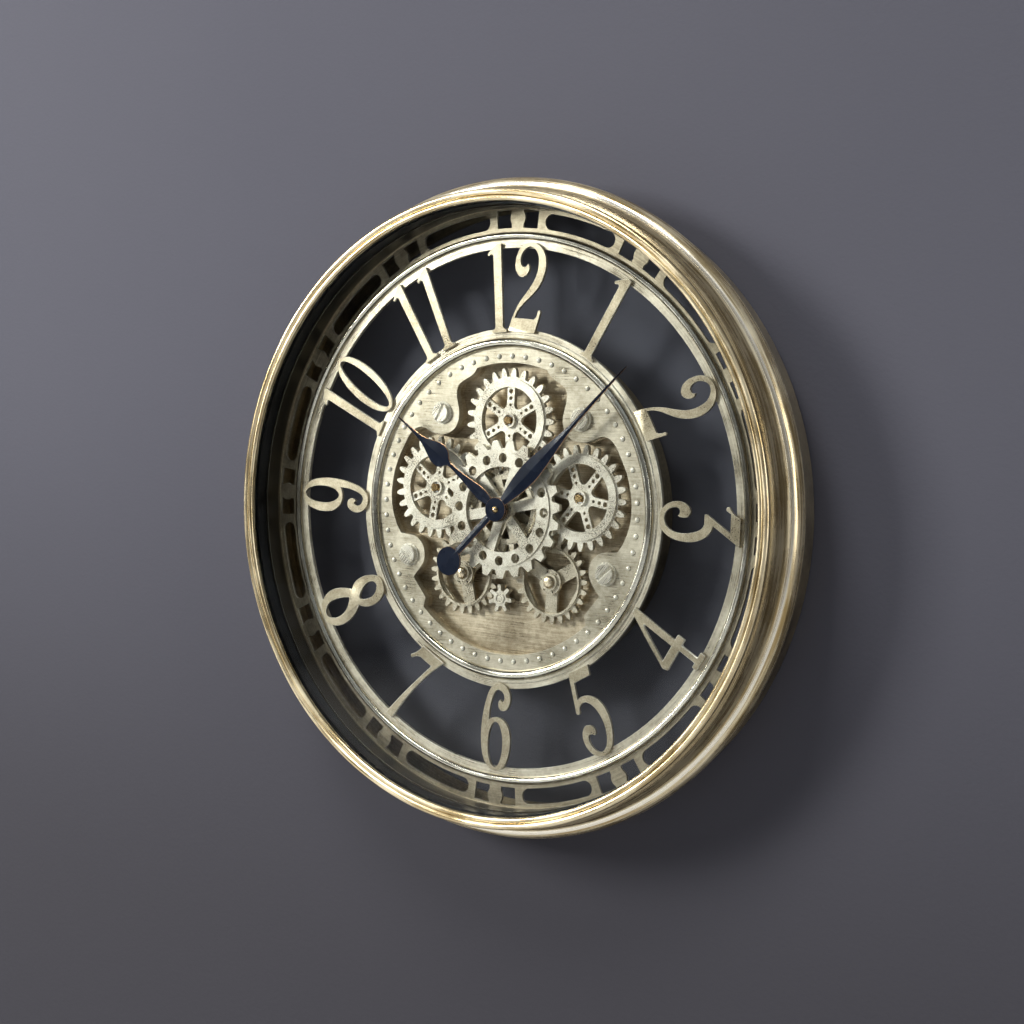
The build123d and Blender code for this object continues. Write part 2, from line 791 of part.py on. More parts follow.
def digit_zero():
    with BuildSketch() as digit:
        with Locations((0, 1)):
            Ellipse(14.6, 36)
            Ellipse(7.8, 32.2, mode=Mode.SUBTRACT)
    return digit.sketch


def numeral(hour, digits):
    # Digits stand on radial lines.  From four to eight they read from the rim.
    upright = hour < 4 or hour > 8
    with BuildPart() as plate:
        with BuildSketch(facing(dial_face)):
            for digit, shift in digits:
                clockwise = 30 * hour + shift
                turn = -clockwise if upright else 180 - clockwise
                place = polar(numeral_circle, 90 - clockwise)
                with Locations(Location((place[0], place[1], 0), (0, 0, turn))):
                    add(digit)
        extrude(amount=numeral_thickness)
    return plate


numeral_digits = {
    1: [(digit_one(), 0.0)],
    2: [(digit_two(), 0.0)],
    3: [(digit_three(), 0.0)],
    4: [(digit_four(), 0.0)],
    5: [(digit_five(), 0.0)],
    6: [(digit_six(), 0.0)],
    7: [(digit_seven(), 0.0)],
    8: [(digit_eight(), 0.0)],
    9: [(digit_nine(), 0.0)],
    10: [(digit_one(), -5.6), (digit_zero(), 2.8)],
    11: [(digit_one(), -3.6), (digit_one(), 4.4)],
    12: [(digit_one(), -4.8), (digit_two(), 4.0)],
}
for hour in range(1, 13):
    figure = numeral(hour, numeral_digits[hour])
    figure.part.label = "numeral_" + str(hour)
    export_step(figure.part, "parts/numeral_" + str(hour) + ".step")


# ---------------------------------------------------------------- dial plates

def opening_outline(widen):
    # The opening follows the gears and leaves four lugs; the two halves match.
    reach = opening_radius + widen
    arc_end = (reach * math.sin(math.radians(17)), reach * math.cos(math.radians(17)))
    side = (reach * math.cos(math.radians(5)), reach * math.sin(math.radians(5)))
    corner_b = (79.7, -80.3)
    corner_c = polar(reach, -47.2)
    with BuildSketch() as outline:
        with BuildLine():
            for flip in (1, -1):
                ThreePointArc(
                    (0, reach),
                    (flip * reach * math.sin(math.radians(8)), reach * math.cos(math.radians(8))),
                    (flip * arc_end[0], arc_end[1]),
                )
                Spline(
                    (flip * arc_end[0], arc_end[1]),
                    (flip * 46.0, 105.4),
                    (flip * (53.6 + widen), 99.6),
                    (flip * (54.8 + widen), 92.0),
                    (flip * (51.6 + widen), 76.4),
                    (flip * (55.6 + widen), 64.2),
                    (flip * 66.4, 58.6 - widen),
                    (flip * 80.0, 60.0 - widen),
                    (flip * 91.0, 63.8 - widen),
                    (flip * 99.0, 60.6 - widen),
                    (flip * (107.4 + widen), 49.0),
                    (flip * (114.4 + widen), 34.6),
                    (flip * side[0], side[1]),
                )
                ThreePointArc(
                    (flip * side[0], side[1]),
                    (flip * (118.6 + widen), -6.0),
                    (flip * (108.4 + widen), -27.4),
                )
                Line((flip * (108.4 + widen), -27.4), (flip * 99.4, -28.2))
                ThreePointArc(
                    (flip * 99.4, -28.2),
                    (flip * (84.2 + widen), -37.0),
                    (flip * (85.8 + widen), -54.6),
                )
                Line((flip * (85.8 + widen), -54.6), (flip * (93.4 + widen), -63.8))
                Line((flip * (93.4 + widen), -63.8), (flip * (corner_b[0] + widen), corner_b[1] - widen))
                Line(
                    (flip * (corner_b[0] + widen), corner_b[1] - widen),
                    (flip * corner_c[0], corner_c[1]),
                )
                ThreePointArc(
                    (flip * corner_c[0], corner_c[1]),
                    (flip * polar(reach, -70)[0], polar(reach, -70)[1]),
                    (0, -reach),
                )
        make_face()
    return outline.sketch


lugs = [upper_lug, mirrored(upper_lug), lower_lug, mirrored(lower_lug)]

with BuildPart() as dial_front_plate:
    with BuildSketch(facing(front_plate_back)):
        Circle(drum_radius)
        add(opening_outline(0), mode=Mode.SUBTRACT)
        with Locations(*lugs):
            Circle(lug_shank, mode=Mode.SUBTRACT)
    extrude(amount=front_plate)
    with BuildSketch(facing(dial_face)):
        with PolarLocations(rivet_circle, rivet_count):
            Circle(rivet_shank)
    extrude(amount=-rivet_depth, mode=Mode.SUBTRACT)
dial_front_plate.part.label = "dial_front_plate"
export_step(dial_front_plate.part, "parts/dial_front_plate.step")

with BuildPart() as dial_spacer_plate:
    with BuildSketch(facing(back_plate_face)):
        Circle(drum_radius)
        add(opening_outline(spacer_setback), mode=Mode.SUBTRACT)
        with Locations(*lugs):
            Circle(lug_shank, mode=Mode.SUBTRACT)
    extrude(amount=spacer_plate)
dial_spacer_plate.part.label = "dial_spacer_plate"
export_step(dial_spacer_plate.part, "parts/dial_spacer_plate.step")

with BuildPart() as dial_back_plate:
    with BuildSketch(facing(back_plate_back)):
        Circle(drum_radius)
        Circle(bushing_radius, mode=Mode.SUBTRACT)
        with Locations(*upper_centres, *lower_centres):
            Circle(stud_radius - stud_neck, mode=Mode.SUBTRACT)
        with Locations(pinion_centre):
            Circle(motor_shaft_radius + 0.6, mode=Mode.SUBTRACT)
    extrude(amount=back_plate)
dial_back_plate.part.label = "dial_back_plate"
export_step(dial_back_plate.part, "parts/dial_back_plate.step")

with BuildPart() as dial_rivets:
    # Sixty domed rivets, one at every minute.
    with BuildSketch(facing(dial_face - rivet_depth)):
        with PolarLocations(rivet_circle, rivet_count):
            Circle(rivet_shank)
    extrude(amount=rivet_depth)
    with BuildSketch(facing(dial_face)):
        with PolarLocations(rivet_circle, rivet_count):
            Circle(rivet_radius)
    extrude(amount=rivet_height, taper=32)
dial_rivets.part.label = "dial_rivets"
export_step(dial_rivets.part, "parts/dial_rivets.step")

with BuildPart() as lug_screws:
    # Slotted cheese-head screws through both plates at the four lugs.
    with BuildSketch(facing(back_plate_face)):
        with Locations(*lugs):
            Circle(lug_shank)
    extrude(amount=dial_face + washer_thickness - back_plate_face)
    with BuildSketch(facing(dial_face + washer_thickness)):
        with Locations(*lugs):
            Circle(lug_screw_radius)
    extrude(amount=lug_screw_height)
    with BuildSketch(facing(dial_face + washer_thickness + lug_screw_height - 1.4)):
        for lug, turn in zip(lugs, (60, 62, 42, -38)):
            with Locations(Location((lug[0], lug[1], 0), (0, 0, turn))):
                Rectangle(3 * lug_screw_radius, lug_slot)
    extrude(amount=3, mode=Mode.SUBTRACT)
lug_screws.part.label = "lug_screws"
export_step(lug_screws.part, "parts/lug_screws.step")

with BuildPart() as lug_washers:
    with BuildSketch(facing(dial_face)):
        with Locations(*lugs):
            Circle(washer_radius)
            Circle(lug_shank, mode=Mode.SUBTRACT)
    extrude(amount=washer_thickness)
lug_washers.part.label = "lug_washers"
export_step(lug_washers.part, "parts/lug_washers.step")

# ---------------------------------------------------------------- drum behind the dial

with BuildPart() as drum_side_wall:
    with BuildSketch(facing(cover_back)):
        Circle(drum_radius + drum_wall)
        Circle(drum_radius, mode=Mode.SUBTRACT)
    extrude(amount=chapter_back - cover_back)
drum_side_wall.part.label = "drum_side_wall"
export_step(drum_side_wall.part, "parts/drum_side_wall.step")

motor_middle = (pinion_centre[0], pinion_centre[1] - 6.0)

with BuildPart() as drum_rear_cover:
    with BuildSketch(facing(cover_back)):
        Circle(drum_radius)
        Rectangle(movement_size + 2 * case_gap, movement_size + 2 * case_gap, mode=Mode.SUBTRACT)
        with Locations(motor_middle):
            Rectangle(motor_width + 2 * case_gap, motor_tall + 2 * case_gap, mode=Mode.SUBTRACT)
        with PolarLocations(pillar_circle, pillar_count):
            Circle(cover_screw_radius, mode=Mode.SUBTRACT)
    extrude(amount=cover_thickness)
drum_rear_cover.part.label = "drum_rear_cover"
export_step(drum_rear_cover.part, "parts/drum_rear_cover.step")

with BuildPart() as rear_pillars:
    with BuildSketch(facing(cover_front)):
        with PolarLocations(pillar_circle, pillar_count):
            Circle(pillar_radius)
    extrude(amount=back_plate_back - cover_front)
    with BuildSketch(facing(cover_front)):
        with PolarLocations(pillar_circle, pillar_count):
            Circle(cover_screw_radius)
    extrude(amount=cover_screw_length, mode=Mode.SUBTRACT)
rear_pillars.part.label = "rear_pillars"
export_step(rear_pillars.part, "parts/rear_pillars.step")

with BuildPart() as rear_cover_screws:
    with BuildSketch(facing(cover_back - 1.6)):
        with PolarLocations(pillar_circle, pillar_count):
            Circle(3.2)
    extrude(amount=1.6)
    with BuildSketch(facing(cover_back)):
        with PolarLocations(pillar_circle, pillar_count):
            Circle(cover_screw_radius)
    extrude(amount=cover_thickness + cover_screw_length - 1.5)
    with BuildSketch(facing(cover_back - 1.6)):
        with PolarLocations(pillar_circle, pillar_count):
            Rectangle(8, 0.9)
            Rectangle(0.9, 8)
    extrude(amount=0.9, mode=Mode.SUBTRACT)
rear_cover_screws.part.label = "rear_cover_screws"
export_step(rear_cover_screws.part, "parts/rear_cover_screws.step")

# ---------------------------------------------------------------- fixed gear studs

clip_seat = upper_front - 0.5
clip_thickness = 0.6
clip_inner = stud_radius - 0.6
clip_outer = stud_radius + 1.1
stud_lift = 0.2

with BuildPart() as upper_studs:
    # Shouldered studs riveted into the back plate, grooved for a spring clip.
    with BuildSketch(facing(back_plate_back - 0.8)):
        with Locations(*upper_centres):
            Circle(stud_radius + 1.9)
    extrude(amount=0.8)
    with BuildSketch(facing(back_plate_back)):
        with Locations(*upper_centres):
            Circle(stud_radius - stud_neck)
    extrude(amount=back_plate)
    with BuildSketch(facing(back_plate_face)):
        with Locations(*upper_centres):
            Circle(stud_radius + stud_flange)
    extrude(amount=upper_back - stud_lift - back_plate_face)
    with BuildSketch(facing(upper_back - stud_lift)):
        with Locations(*upper_centres):
            Circle(stud_radius)
    extrude(amount=gear_thickness + 3.6 + stud_lift)
    with BuildSketch(facing(clip_seat)):
        with Locations(*upper_centres):
            Circle(clip_outer)
            Circle(clip_inner, mode=Mode.SUBTRACT)
    extrude(amount=clip_thickness, mode=Mode.SUBTRACT)
upper_studs.part.label = "upper_studs"
export_step(upper_studs.part, "parts/upper_studs.step")

with BuildPart() as stud_clips:
    # Open spring clips that hold the three upper gears on their studs.
    with BuildSketch(facing(clip_seat)):
        with Locations(*upper_centres):
            Circle(clip_outer)
            Circle(clip_inner, mode=Mode.SUBTRACT)
        for centre in upper_centres:
            with Locations(Location((centre[0], centre[1], 0), (0, 0, -40))):
                with Locations((clip_outer, 0)):
                    Rectangle(2 * clip_outer, 1.3 * clip_inner, mode=Mode.SUBTRACT)
    extrude(amount=clip_thickness)
stud_clips.part.label = "stud_clips"
export_step(stud_clips.part, "parts/stud_clips.step")

with BuildPart() as lower_shoulder_screws:
    # Domed brass shoulder screws that the two lower gears turn on.
    with BuildSketch(facing(back_plate_back)):
        with Locations(*lower_centres):
            Circle(stud_radius - stud_neck)
    extrude(amount=back_plate)
    with BuildSketch(facing(back_plate_face)):
        with Locations(*lower_centres):
            Circle(stud_radius + stud_flange)
    extrude(amount=lower_back - stud_lift - back_plate_face)
    with BuildSketch(facing(lower_back - stud_lift)):
        with Locations(*lower_centres):
            Circle(stud_radius)
    extrude(amount=gear_thickness + 3.7 + stud_lift)
    with BuildSketch(facing(lower_front + 3.7)):
        with Locations(*lower_centres):
            Circle(stud_radius + 2.3)
    extrude(amount=2.4, taper=35)
lower_shoulder_screws.part.label = "lower_shoulder_screws"
export_step(lower_shoulder_screws.part, "parts/lower_shoulder_screws.step")

# ---------------------------------------------------------------- turning gears

top_gear = upper_gear(top_centre, top_tooth_angle, 29.5)
top_gear.part.label = "top_gear"
export_step(top_gear.part, "parts/top_gear.step")

left_gear = upper_gear(left_centre, left_tooth, 21.5)
left_gear.part.label = "left_gear"
export_step(left_gear.part, "parts/left_gear.step")

right_gear = upper_gear(right_centre, right_tooth, -9.3)
right_gear.part.label = "right_gear"
export_step(right_gear.part, "parts/right_gear.step")

lower_left_gear = lower_gear(lower_left_centre, lower_left_tooth, -76)
lower_left_gear.part.label = "lower_left_gear"
export_step(lower_left_gear.part, "parts/lower_left_gear.step")

lower_right_gear = lower_gear(lower_right_centre, lower_right_tooth, 30)
lower_right_gear.part.label = "lower_right_gear"
export_step(lower_right_gear.part, "parts/lower_right_gear.step")

with BuildPart() as motor_pinion:
    # Seven round-ended leaves on the gear motor's output shaft.
    with BuildSketch(facing(lower_back - 0.6)):
        with Locations(pinion_centre):
            Circle(6.5)
            with PolarLocations(0, pinion_teeth, start_angle=pinion_tooth):
                with Locations((pinion_reach - 6.2, 0)):
                    SlotOverall(12.4, 3.4)
    extrude(amount=gear_thickness + 1.4)
    with BuildSketch(facing(lower_front + 0.8)):
        with Locations(pinion_centre):
            Circle(4.6)
            Circle(3.4, mode=Mode.SUBTRACT)
    extrude(amount=0.8)
    with BuildSketch(facing(works_back + 6.0)):
        with Locations(pinion_centre):
            Circle(motor_shaft_radius)
    extrude(amount=lower_front + 1.2 - works_back - 6.0)
motor_pinion.part.label = "motor_pinion"
export_step(motor_pinion.part, "parts/motor_pinion.step")

with BuildPart() as centre_sleeve:
    # One sleeve carries all three centre gears round the fixed bushing.
    with BuildSketch(facing(back_plate_face + 0.4)):
        Circle(sleeve_radius)
        Circle(bushing_radius + run_fit, mode=Mode.SUBTRACT)
    extrude(amount=sleeve_front - back_plate_face - 0.4)
centre_sleeve.part.label = "centre_sleeve"
export_step(centre_sleeve.part, "parts/centre_sleeve.step")

drive_window = lower_module * (drive_teeth / 2 - 1.2) - 5.07

with BuildPart() as lower_drive_gear:
    # Rearmost centre gear, it meshes with both lower gears.
    with BuildSketch(facing(lower_back)):
        add(toothed_disc(lower_module, drive_teeth, drive_tooth))
        with PolarLocations(0, 4, start_angle=20):
            add(spoke_window(drive_window, 4, 7.0, 4.0), mode=Mode.SUBTRACT)
        Circle(sleeve_radius, mode=Mode.SUBTRACT)
    extrude(amount=gear_thickness)
lower_drive_gear.part.label = "lower_drive_gear"
export_step(lower_drive_gear.part, "parts/lower_drive_gear.step")

centre_root = upper_module * (centre_teeth / 2 - 1.2)

with BuildPart() as rear_centre_gear:
    # Meshes with the top, left and right gears.
    with BuildSketch(facing(upper_back)):
        add(toothed_disc(upper_module, centre_teeth, centre_tooth))
    extrude(amount=gear_thickness)
    with BuildSketch(facing(upper_front)):
        Circle(centre_root - 0.93)
    extrude(amount=1.0)
    with BuildSketch(facing(upper_back)):
        with PolarLocations(0, 4, start_angle=65):
            add(spoke_window(centre_root - 4.93, 4, 7.0, 4.0))
    extrude(amount=gear_thickness + 2, mode=Mode.SUBTRACT)
    with BuildSketch(facing(upper_back)):
        Circle(sleeve_radius)
    extrude(amount=gear_thickness + 2, mode=Mode.SUBTRACT)
rear_centre_gear.part.label = "rear_centre_gear"
export_step(rear_centre_gear.part, "parts/rear_centre_gear.step")

front_teeth = 23
front_tip = 56.8
front_root = 50.2
front_step = 47.4
front_ring_inner = 35.2
front_hole_circle = 42.3
front_hole = 4.0

tip_half = math.degrees(2.5 / front_tip)
root_half = math.degrees(5.2 / front_root)
with BuildSketch() as show_tooth:
    with BuildLine():
        Polyline(
            polar(front_root - 1, root_half),
            polar(front_root, root_half),
            polar(front_tip, tip_half),
            polar(front_tip, -tip_half),
            polar(front_root, -root_half),
            polar(front_root - 1, -root_half),
            polar(front_root - 1, root_half),
        )
    make_face()

with BuildPart() as front_centre_gear:
    # Show gear in front of the others, straight sided teeth and sixteen holes.
    with BuildSketch(facing(front_gear_back)):
        Circle(front_root)
        with PolarLocations(0, front_teeth, start_angle=5.2):
            add(show_tooth.sketch)
        Circle(front_ring_inner, mode=Mode.SUBTRACT)
    extrude(amount=front_gear_thickness)
    with BuildSketch(facing(front_gear_face)):
        Circle(front_step)
        Circle(front_ring_inner, mode=Mode.SUBTRACT)
    extrude(amount=1.0)
    with BuildSketch(facing(front_gear_back)):
        with PolarLocations(front_hole_circle, 16):
            Circle(front_hole)
    extrude(amount=6, mode=Mode.SUBTRACT)
    # Six deep bar spokes.
    with BuildSketch(facing(front_gear_back - 1.5)):
        Circle(front_ring_inner + 0.3)
        with PolarLocations(0, 6, start_angle=12 + 30):
            add(spoke_window(front_ring_inner + 0.5, 6, 8.6, 2.0), mode=Mode.SUBTRACT)
    extrude(amount=4.0)
    with BuildSketch(facing(front_gear_back - 1.5)):
        Circle(sleeve_radius + 3.8)
    extrude(amount=sleeve_front - front_gear_back + 1.5)
    with BuildSketch(facing(front_gear_back - 3)):
        Circle(sleeve_radius)
    extrude(amount=12, mode=Mode.SUBTRACT)
front_centre_gear.part.label = "front_centre_gear"
export_step(front_centre_gear.part, "parts/front_centre_gear.step")

# ---------------------------------------------------------------- hand works

bushing_seat = 2.0
tube_end = works_front - 7.5

with BuildPart() as movement_bushing:
    # Fixed threaded bushing of the quartz movement, it comes through the dial.
    with BuildSketch(facing(works_front - bushing_seat)):
        Circle(bushing_radius)
        Circle(hour_tube_radius + run_fit, mode=Mode.SUBTRACT)
    extrude(amount=bushing_front - works_front + bushing_seat)
movement_bushing.part.label = "movement_bushing"
export_step(movement_bushing.part, "parts/movement_bushing.step")

with BuildPart() as bushing_nut:
    # Knurled round nut that keeps the sleeve on the bushing.
    with BuildSketch(facing(nut_back)):
        Circle(bushing_radius + 4.6)
        Circle(bushing_radius, mode=Mode.SUBTRACT)
    extrude(amount=nut_front - nut_back)
    with BuildSketch(facing(nut_back)):
        with PolarLocations(bushing_radius + 4.9, 24):
            Circle(0.5)
    extrude(amount=nut_front - nut_back, mode=Mode.SUBTRACT)
bushing_nut.part.label = "bushing_nut"
export_step(bushing_nut.part, "parts/bushing_nut.step")

with BuildPart() as hour_tube:
    with BuildSketch(facing(tube_end)):
        Circle(hour_tube_radius)
        Circle(minute_shaft_radius + run_fit, mode=Mode.SUBTRACT)
    extrude(amount=hour_hand_height + hand_thickness + 0.6 - tube_end)
hour_tube.part.label = "hour_tube"
export_step(hour_tube.part, "parts/hour_tube.step")


def hand_location(angle):
    # A hand is drawn pointing up, then turned clockwise to its angle.
    return Location((0, 0, 0), (0, 0, -angle))


# Leaf, thin neck, teardrop and needle point.
with BuildSketch() as hour_blade:
    with BuildLine():
        for flip in (1, -1):
            Spline(
                (flip * 3.4, 6.0), (flip * 5.2, 20.0), (flip * 3.4, 38.0), (flip * 1.9, 62.0)
            )
            Spline(
                (flip * 1.9, 62.0), (flip * 7.4, 67.4), (flip * 9.4, 75.0),
                (flip * 7.0, 84.0), (flip * 3.1, 95.0), (flip * 1.5, 107.0),
            )
            Line((flip * 1.5, 107.0), (flip * 0.6, hour_hand_length))
        Line((-3.4, 6.0), (3.4, 6.0))
        Line((-0.6, hour_hand_length), (0.6, hour_hand_length))
    make_face()

with BuildPart() as hour_hand:
    with BuildSketch(facing(hour_hand_height)):
        with Locations(hand_location(hour_hand_angle)):
            add(hour_blade.sketch)
        Circle(hand_hub)
        Circle(hour_tube_radius, mode=Mode.SUBTRACT)
    extrude(amount=hand_thickness)
hour_hand.part.label = "hour_hand"
export_step(hour_hand.part, "parts/hour_hand.step")

with BuildPart() as minute_shaft:
    # Minute arbor from the setting knob to the cap nut.
    with BuildSketch(facing(works_back + 1.0)):
        Circle(minute_shaft_radius)
    extrude(amount=minute_hand_height + hand_thickness + 0.8 - works_back - 1.0)
minute_shaft.part.label = "minute_shaft"
export_step(minute_shaft.part, "parts/minute_shaft.step")

# Long leaf and needle, with a bar and a round disc as counterweight.
with BuildSketch() as minute_blade:
    with BuildLine():
        for flip in (1, -1):
            Spline(
                (flip * 3.2, 7.0), (flip * 6.6, 24.0), (flip * 8.6, 48.0),
                (flip * 5.6, 74.0), (flip * 2.3, 97.0),
            )
            Line((flip * 2.3, 97.0), (flip * 1.6, 125.0))
            Line((flip * 1.6, 125.0), (flip * 0.6, minute_hand_length))
        Line((-3.2, 7.0), (3.2, 7.0))
        Line((-0.6, minute_hand_length), (0.6, minute_hand_length))
    make_face()
    with Locations((0, -30)):
        Rectangle(6.4, 60)
    with Locations((0, -64.5)):
        Circle(12.2)

with BuildPart() as minute_hand:
    with BuildSketch(facing(minute_hand_height)):
        with Locations(hand_location(minute_hand_angle)):
            add(minute_blade.sketch)
        Circle(hand_hub)
        Circle(minute_shaft_radius, mode=Mode.SUBTRACT)
    extrude(amount=hand_thickness)
minute_hand.part.label = "minute_hand"
export_step(minute_hand.part, "parts/minute_hand.step")

with BuildPart() as hand_cap:
    with BuildSketch(facing(minute_hand_height + hand_thickness)):
        Circle(minute_shaft_radius + 1.7)
    extrude(amount=1.9, taper=25)
    with BuildSketch(facing(minute_hand_height + hand_thickness)):
        Circle(minute_shaft_radius)
    extrude(amount=0.8, mode=Mode.SUBTRACT)
hand_cap.part.label = "hand_cap"
export_step(hand_cap.part, "parts/hand_cap.step")

with BuildPart() as set_knob:
    # Ribbed setting knob pressed on the rear end of the minute arbor.
    with BuildSketch(facing(works_back - 1.4)):
        Circle(knob_radius)
    extrude(amount=3.4)
    with BuildSketch(facing(works_back - 1.4)):
        with PolarLocations(knob_radius + 0.4, 20):
            Circle(0.7)
    extrude(amount=3.4, mode=Mode.SUBTRACT)
    with BuildSketch(facing(works_back + 1.0)):
        Circle(minute_shaft_radius)
    extrude(amount=3, mode=Mode.SUBTRACT)
set_knob.part.label = "set_knob"
export_step(set_knob.part, "parts/set_knob.step")

# ---------------------------------------------------------------- works cases

bay_height = 2 * (cell_radius + cell_clearance) + 0.3
bay_depth = 2 * cell_radius + cell_clearance
bay_length = cell_length + 2.5
movement_bay = -movement_size / 2 + case_wall + bay_height / 2
motor_bay = motor_middle[1] - motor_tall / 2 + case_wall + bay_height / 2

with BuildPart() as movement_case:
    # Quartz movement: closed works above, open battery bay below.
    with BuildSketch(facing(works_back)):
        RectangleRounded(movement_size, movement_size, 3)
    extrude(amount=works_front - works_back)
    with BuildSketch(facing(works_back)):
        with Locations((0, movement_bay)):
            Rectangle(bay_length, bay_height)
    extrude(amount=bay_depth, mode=Mode.SUBTRACT)
    with BuildSketch(facing(works_back)):
        Circle(knob_radius + 0.7)
    extrude(amount=3.0, mode=Mode.SUBTRACT)
    with BuildSketch(facing(works_back + 3.0)):
        Circle(minute_shaft_radius + 0.3)
    extrude(amount=tube_end - works_back, mode=Mode.SUBTRACT)
    with BuildSketch(facing(tube_end - 2.0)):
        Circle(hour_tube_radius + 3.5)
    extrude(amount=7.5, mode=Mode.SUBTRACT)
    with BuildSketch(facing(works_front - bushing_seat - 0.5)):
        Circle(bushing_radius)
    extrude(amount=4, mode=Mode.SUBTRACT)
movement_case.part.label = "movement_case"
export_step(movement_case.part, "parts/movement_case.step")

switch_middle = (motor_middle[0] + 21.0, motor_middle[1] + 15.0)

with BuildPart() as motor_case:
    # Gear motor box with its own battery bay and an on and off switch.
    with BuildSketch(facing(works_back)):
        with Locations(motor_middle):
            RectangleRounded(motor_width, motor_tall, 3)
    extrude(amount=works_front - works_back)
    with BuildSketch(facing(works_back)):
        with Locations((motor_middle[0], motor_bay)):
            Rectangle(bay_length, bay_height)
    extrude(amount=bay_depth, mode=Mode.SUBTRACT)
    with BuildSketch(facing(works_back + 5.4)):
        with Locations(pinion_centre):
            Circle(motor_shaft_radius + 2 * run_fit)
    extrude(amount=works_front - works_back, mode=Mode.SUBTRACT)
    with BuildSketch(facing(works_back)):
        with Locations((switch_middle[0] - switch_travel / 2 + 0.1, switch_middle[1])):
            Rectangle(6.8 + switch_travel, 5)
    extrude(amount=4, mode=Mode.SUBTRACT)
motor_case.part.label = "motor_case"
export_step(motor_case.part, "parts/motor_case.step")

with BuildPart() as motor_switch:
    # Sliding thumb piece, shown in the on position at the right of its slot.
    with BuildSketch(facing(works_back + 0.4)):
        with Locations(switch_middle):
            Rectangle(6.8, 4.8)
    extrude(amount=3.5)
    with BuildSketch(facing(works_back - 1.0)):
        with Locations(switch_middle):
            Rectangle(3, 4)
    extrude(amount=1.4)
motor_switch.part.label = "motor_switch"
export_step(motor_switch.part, "parts/motor_switch.step")

with BuildPart() as battery_cells:
    # One cell in each bay, lying across the clock.
    for middle in ((0, movement_bay), (motor_middle[0], motor_bay)):
        with BuildSketch(Plane.YZ.offset(middle[0] - cell_length / 2)):
            with Locations((-(works_back + cell_radius + cell_clearance / 2), middle[1])):
                Circle(cell_radius)
        extrude(amount=cell_length - 1.2)
        with BuildSketch(Plane.YZ.offset(middle[0] + cell_length / 2 - 1.2)):
            with Locations((-(works_back + cell_radius + cell_clearance / 2), middle[1])):
                Circle(2.7)
        extrude(amount=1.2)
battery_cells.part.label = "battery_cells"
export_step(battery_cells.part, "parts/battery_cells.step")

# ---------------------------------------------------------------- wall fixing

with BuildPart() as hanger_bracket:
    # Keyhole plate riveted behind the top of the rim.
    with BuildSketch(facing(wall_back - 1.9)):
        with Locations((0, hanger_height)):
            Rectangle(56, 14)
        with Locations((0, hanger_height - 2)):
            Circle(4.5, mode=Mode.SUBTRACT)
        with Locations((0, hanger_height + 1)):
            SlotOverall(8.4, 4.4, rotation=90, mode=Mode.SUBTRACT)
    extrude(amount=1.9)
    with BuildSketch(facing(wall_back - 2.3)):
        with Locations((-22, hanger_height - 1), (22, hanger_height - 1)):
            Circle(2.4)
    extrude(amount=0.4)
hanger_bracket.part.label = "hanger_bracket"
export_step(hanger_bracket.part, "parts/hanger_bracket.step")

with BuildPart() as wall_bumpers:
    # Four soft pads keep the rim square to the wall.
    with BuildSketch(facing(0)):
        with PolarLocations(bumper_circle, 4, start_angle=45):
            Circle(6)
    extrude(amount=wall_back)
wall_bumpers.part.label = "wall_bumpers"
export_step(wall_bumpers.part, "parts/wall_bumpers.step")
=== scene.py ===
import math

import bmesh
import bpy
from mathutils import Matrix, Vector


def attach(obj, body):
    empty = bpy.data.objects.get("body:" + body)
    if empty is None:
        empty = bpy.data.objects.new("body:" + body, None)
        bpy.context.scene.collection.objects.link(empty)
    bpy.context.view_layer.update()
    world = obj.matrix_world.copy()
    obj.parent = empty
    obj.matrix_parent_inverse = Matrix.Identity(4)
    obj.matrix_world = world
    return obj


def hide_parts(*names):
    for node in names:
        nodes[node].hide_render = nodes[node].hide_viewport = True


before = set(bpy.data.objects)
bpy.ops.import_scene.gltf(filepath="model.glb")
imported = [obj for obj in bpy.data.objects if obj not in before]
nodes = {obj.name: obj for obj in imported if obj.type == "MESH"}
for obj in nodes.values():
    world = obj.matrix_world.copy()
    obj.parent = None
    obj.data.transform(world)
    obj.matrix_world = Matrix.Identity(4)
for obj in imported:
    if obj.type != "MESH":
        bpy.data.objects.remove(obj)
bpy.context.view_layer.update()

scene = bpy.context.scene
MM = 0.001

# noise scales of the metals, and how much each counts in the tarnish
PATCH_SCALE = 34.0
MOTTLE_SCALE = 260.0
SPECK_SCALE = 900.0
PATCH_SHARE = 0.35
MOTTLE_SHARE = 0.3
FINE_SHARE = 0.35
# how far brushing is drawn out along its line, through the depth and across, and round a ring
BRUSH_ALONG = 45.0
BRUSH_DEPTH = 500.0
BRUSH_ACROSS = 1500.0
BRUSH_ROUND = 5.0
# noise values between which tarnish turns to clean metal, and the polish or the haze varies
WORN_LOW = 0.36
WORN_HIGH = 0.64
POLISH_LOW = 0.35
POLISH_HIGH = 0.65
HAZE_LOW = 0.3
HAZE_HIGH = 0.7

# shading breaks at edges sharper than these
CREASE = math.radians(32)
RIVET_CREASE = math.radians(45)
HAND_CREASE = math.radians(4)
# carried-over nodes: weld distance in metres, flat faces joined, edges that get a bevel
WELD_REACH = 0.000002
FLAT_LIMIT = math.radians(0.2)
BEVEL_LIMIT = math.radians(40)

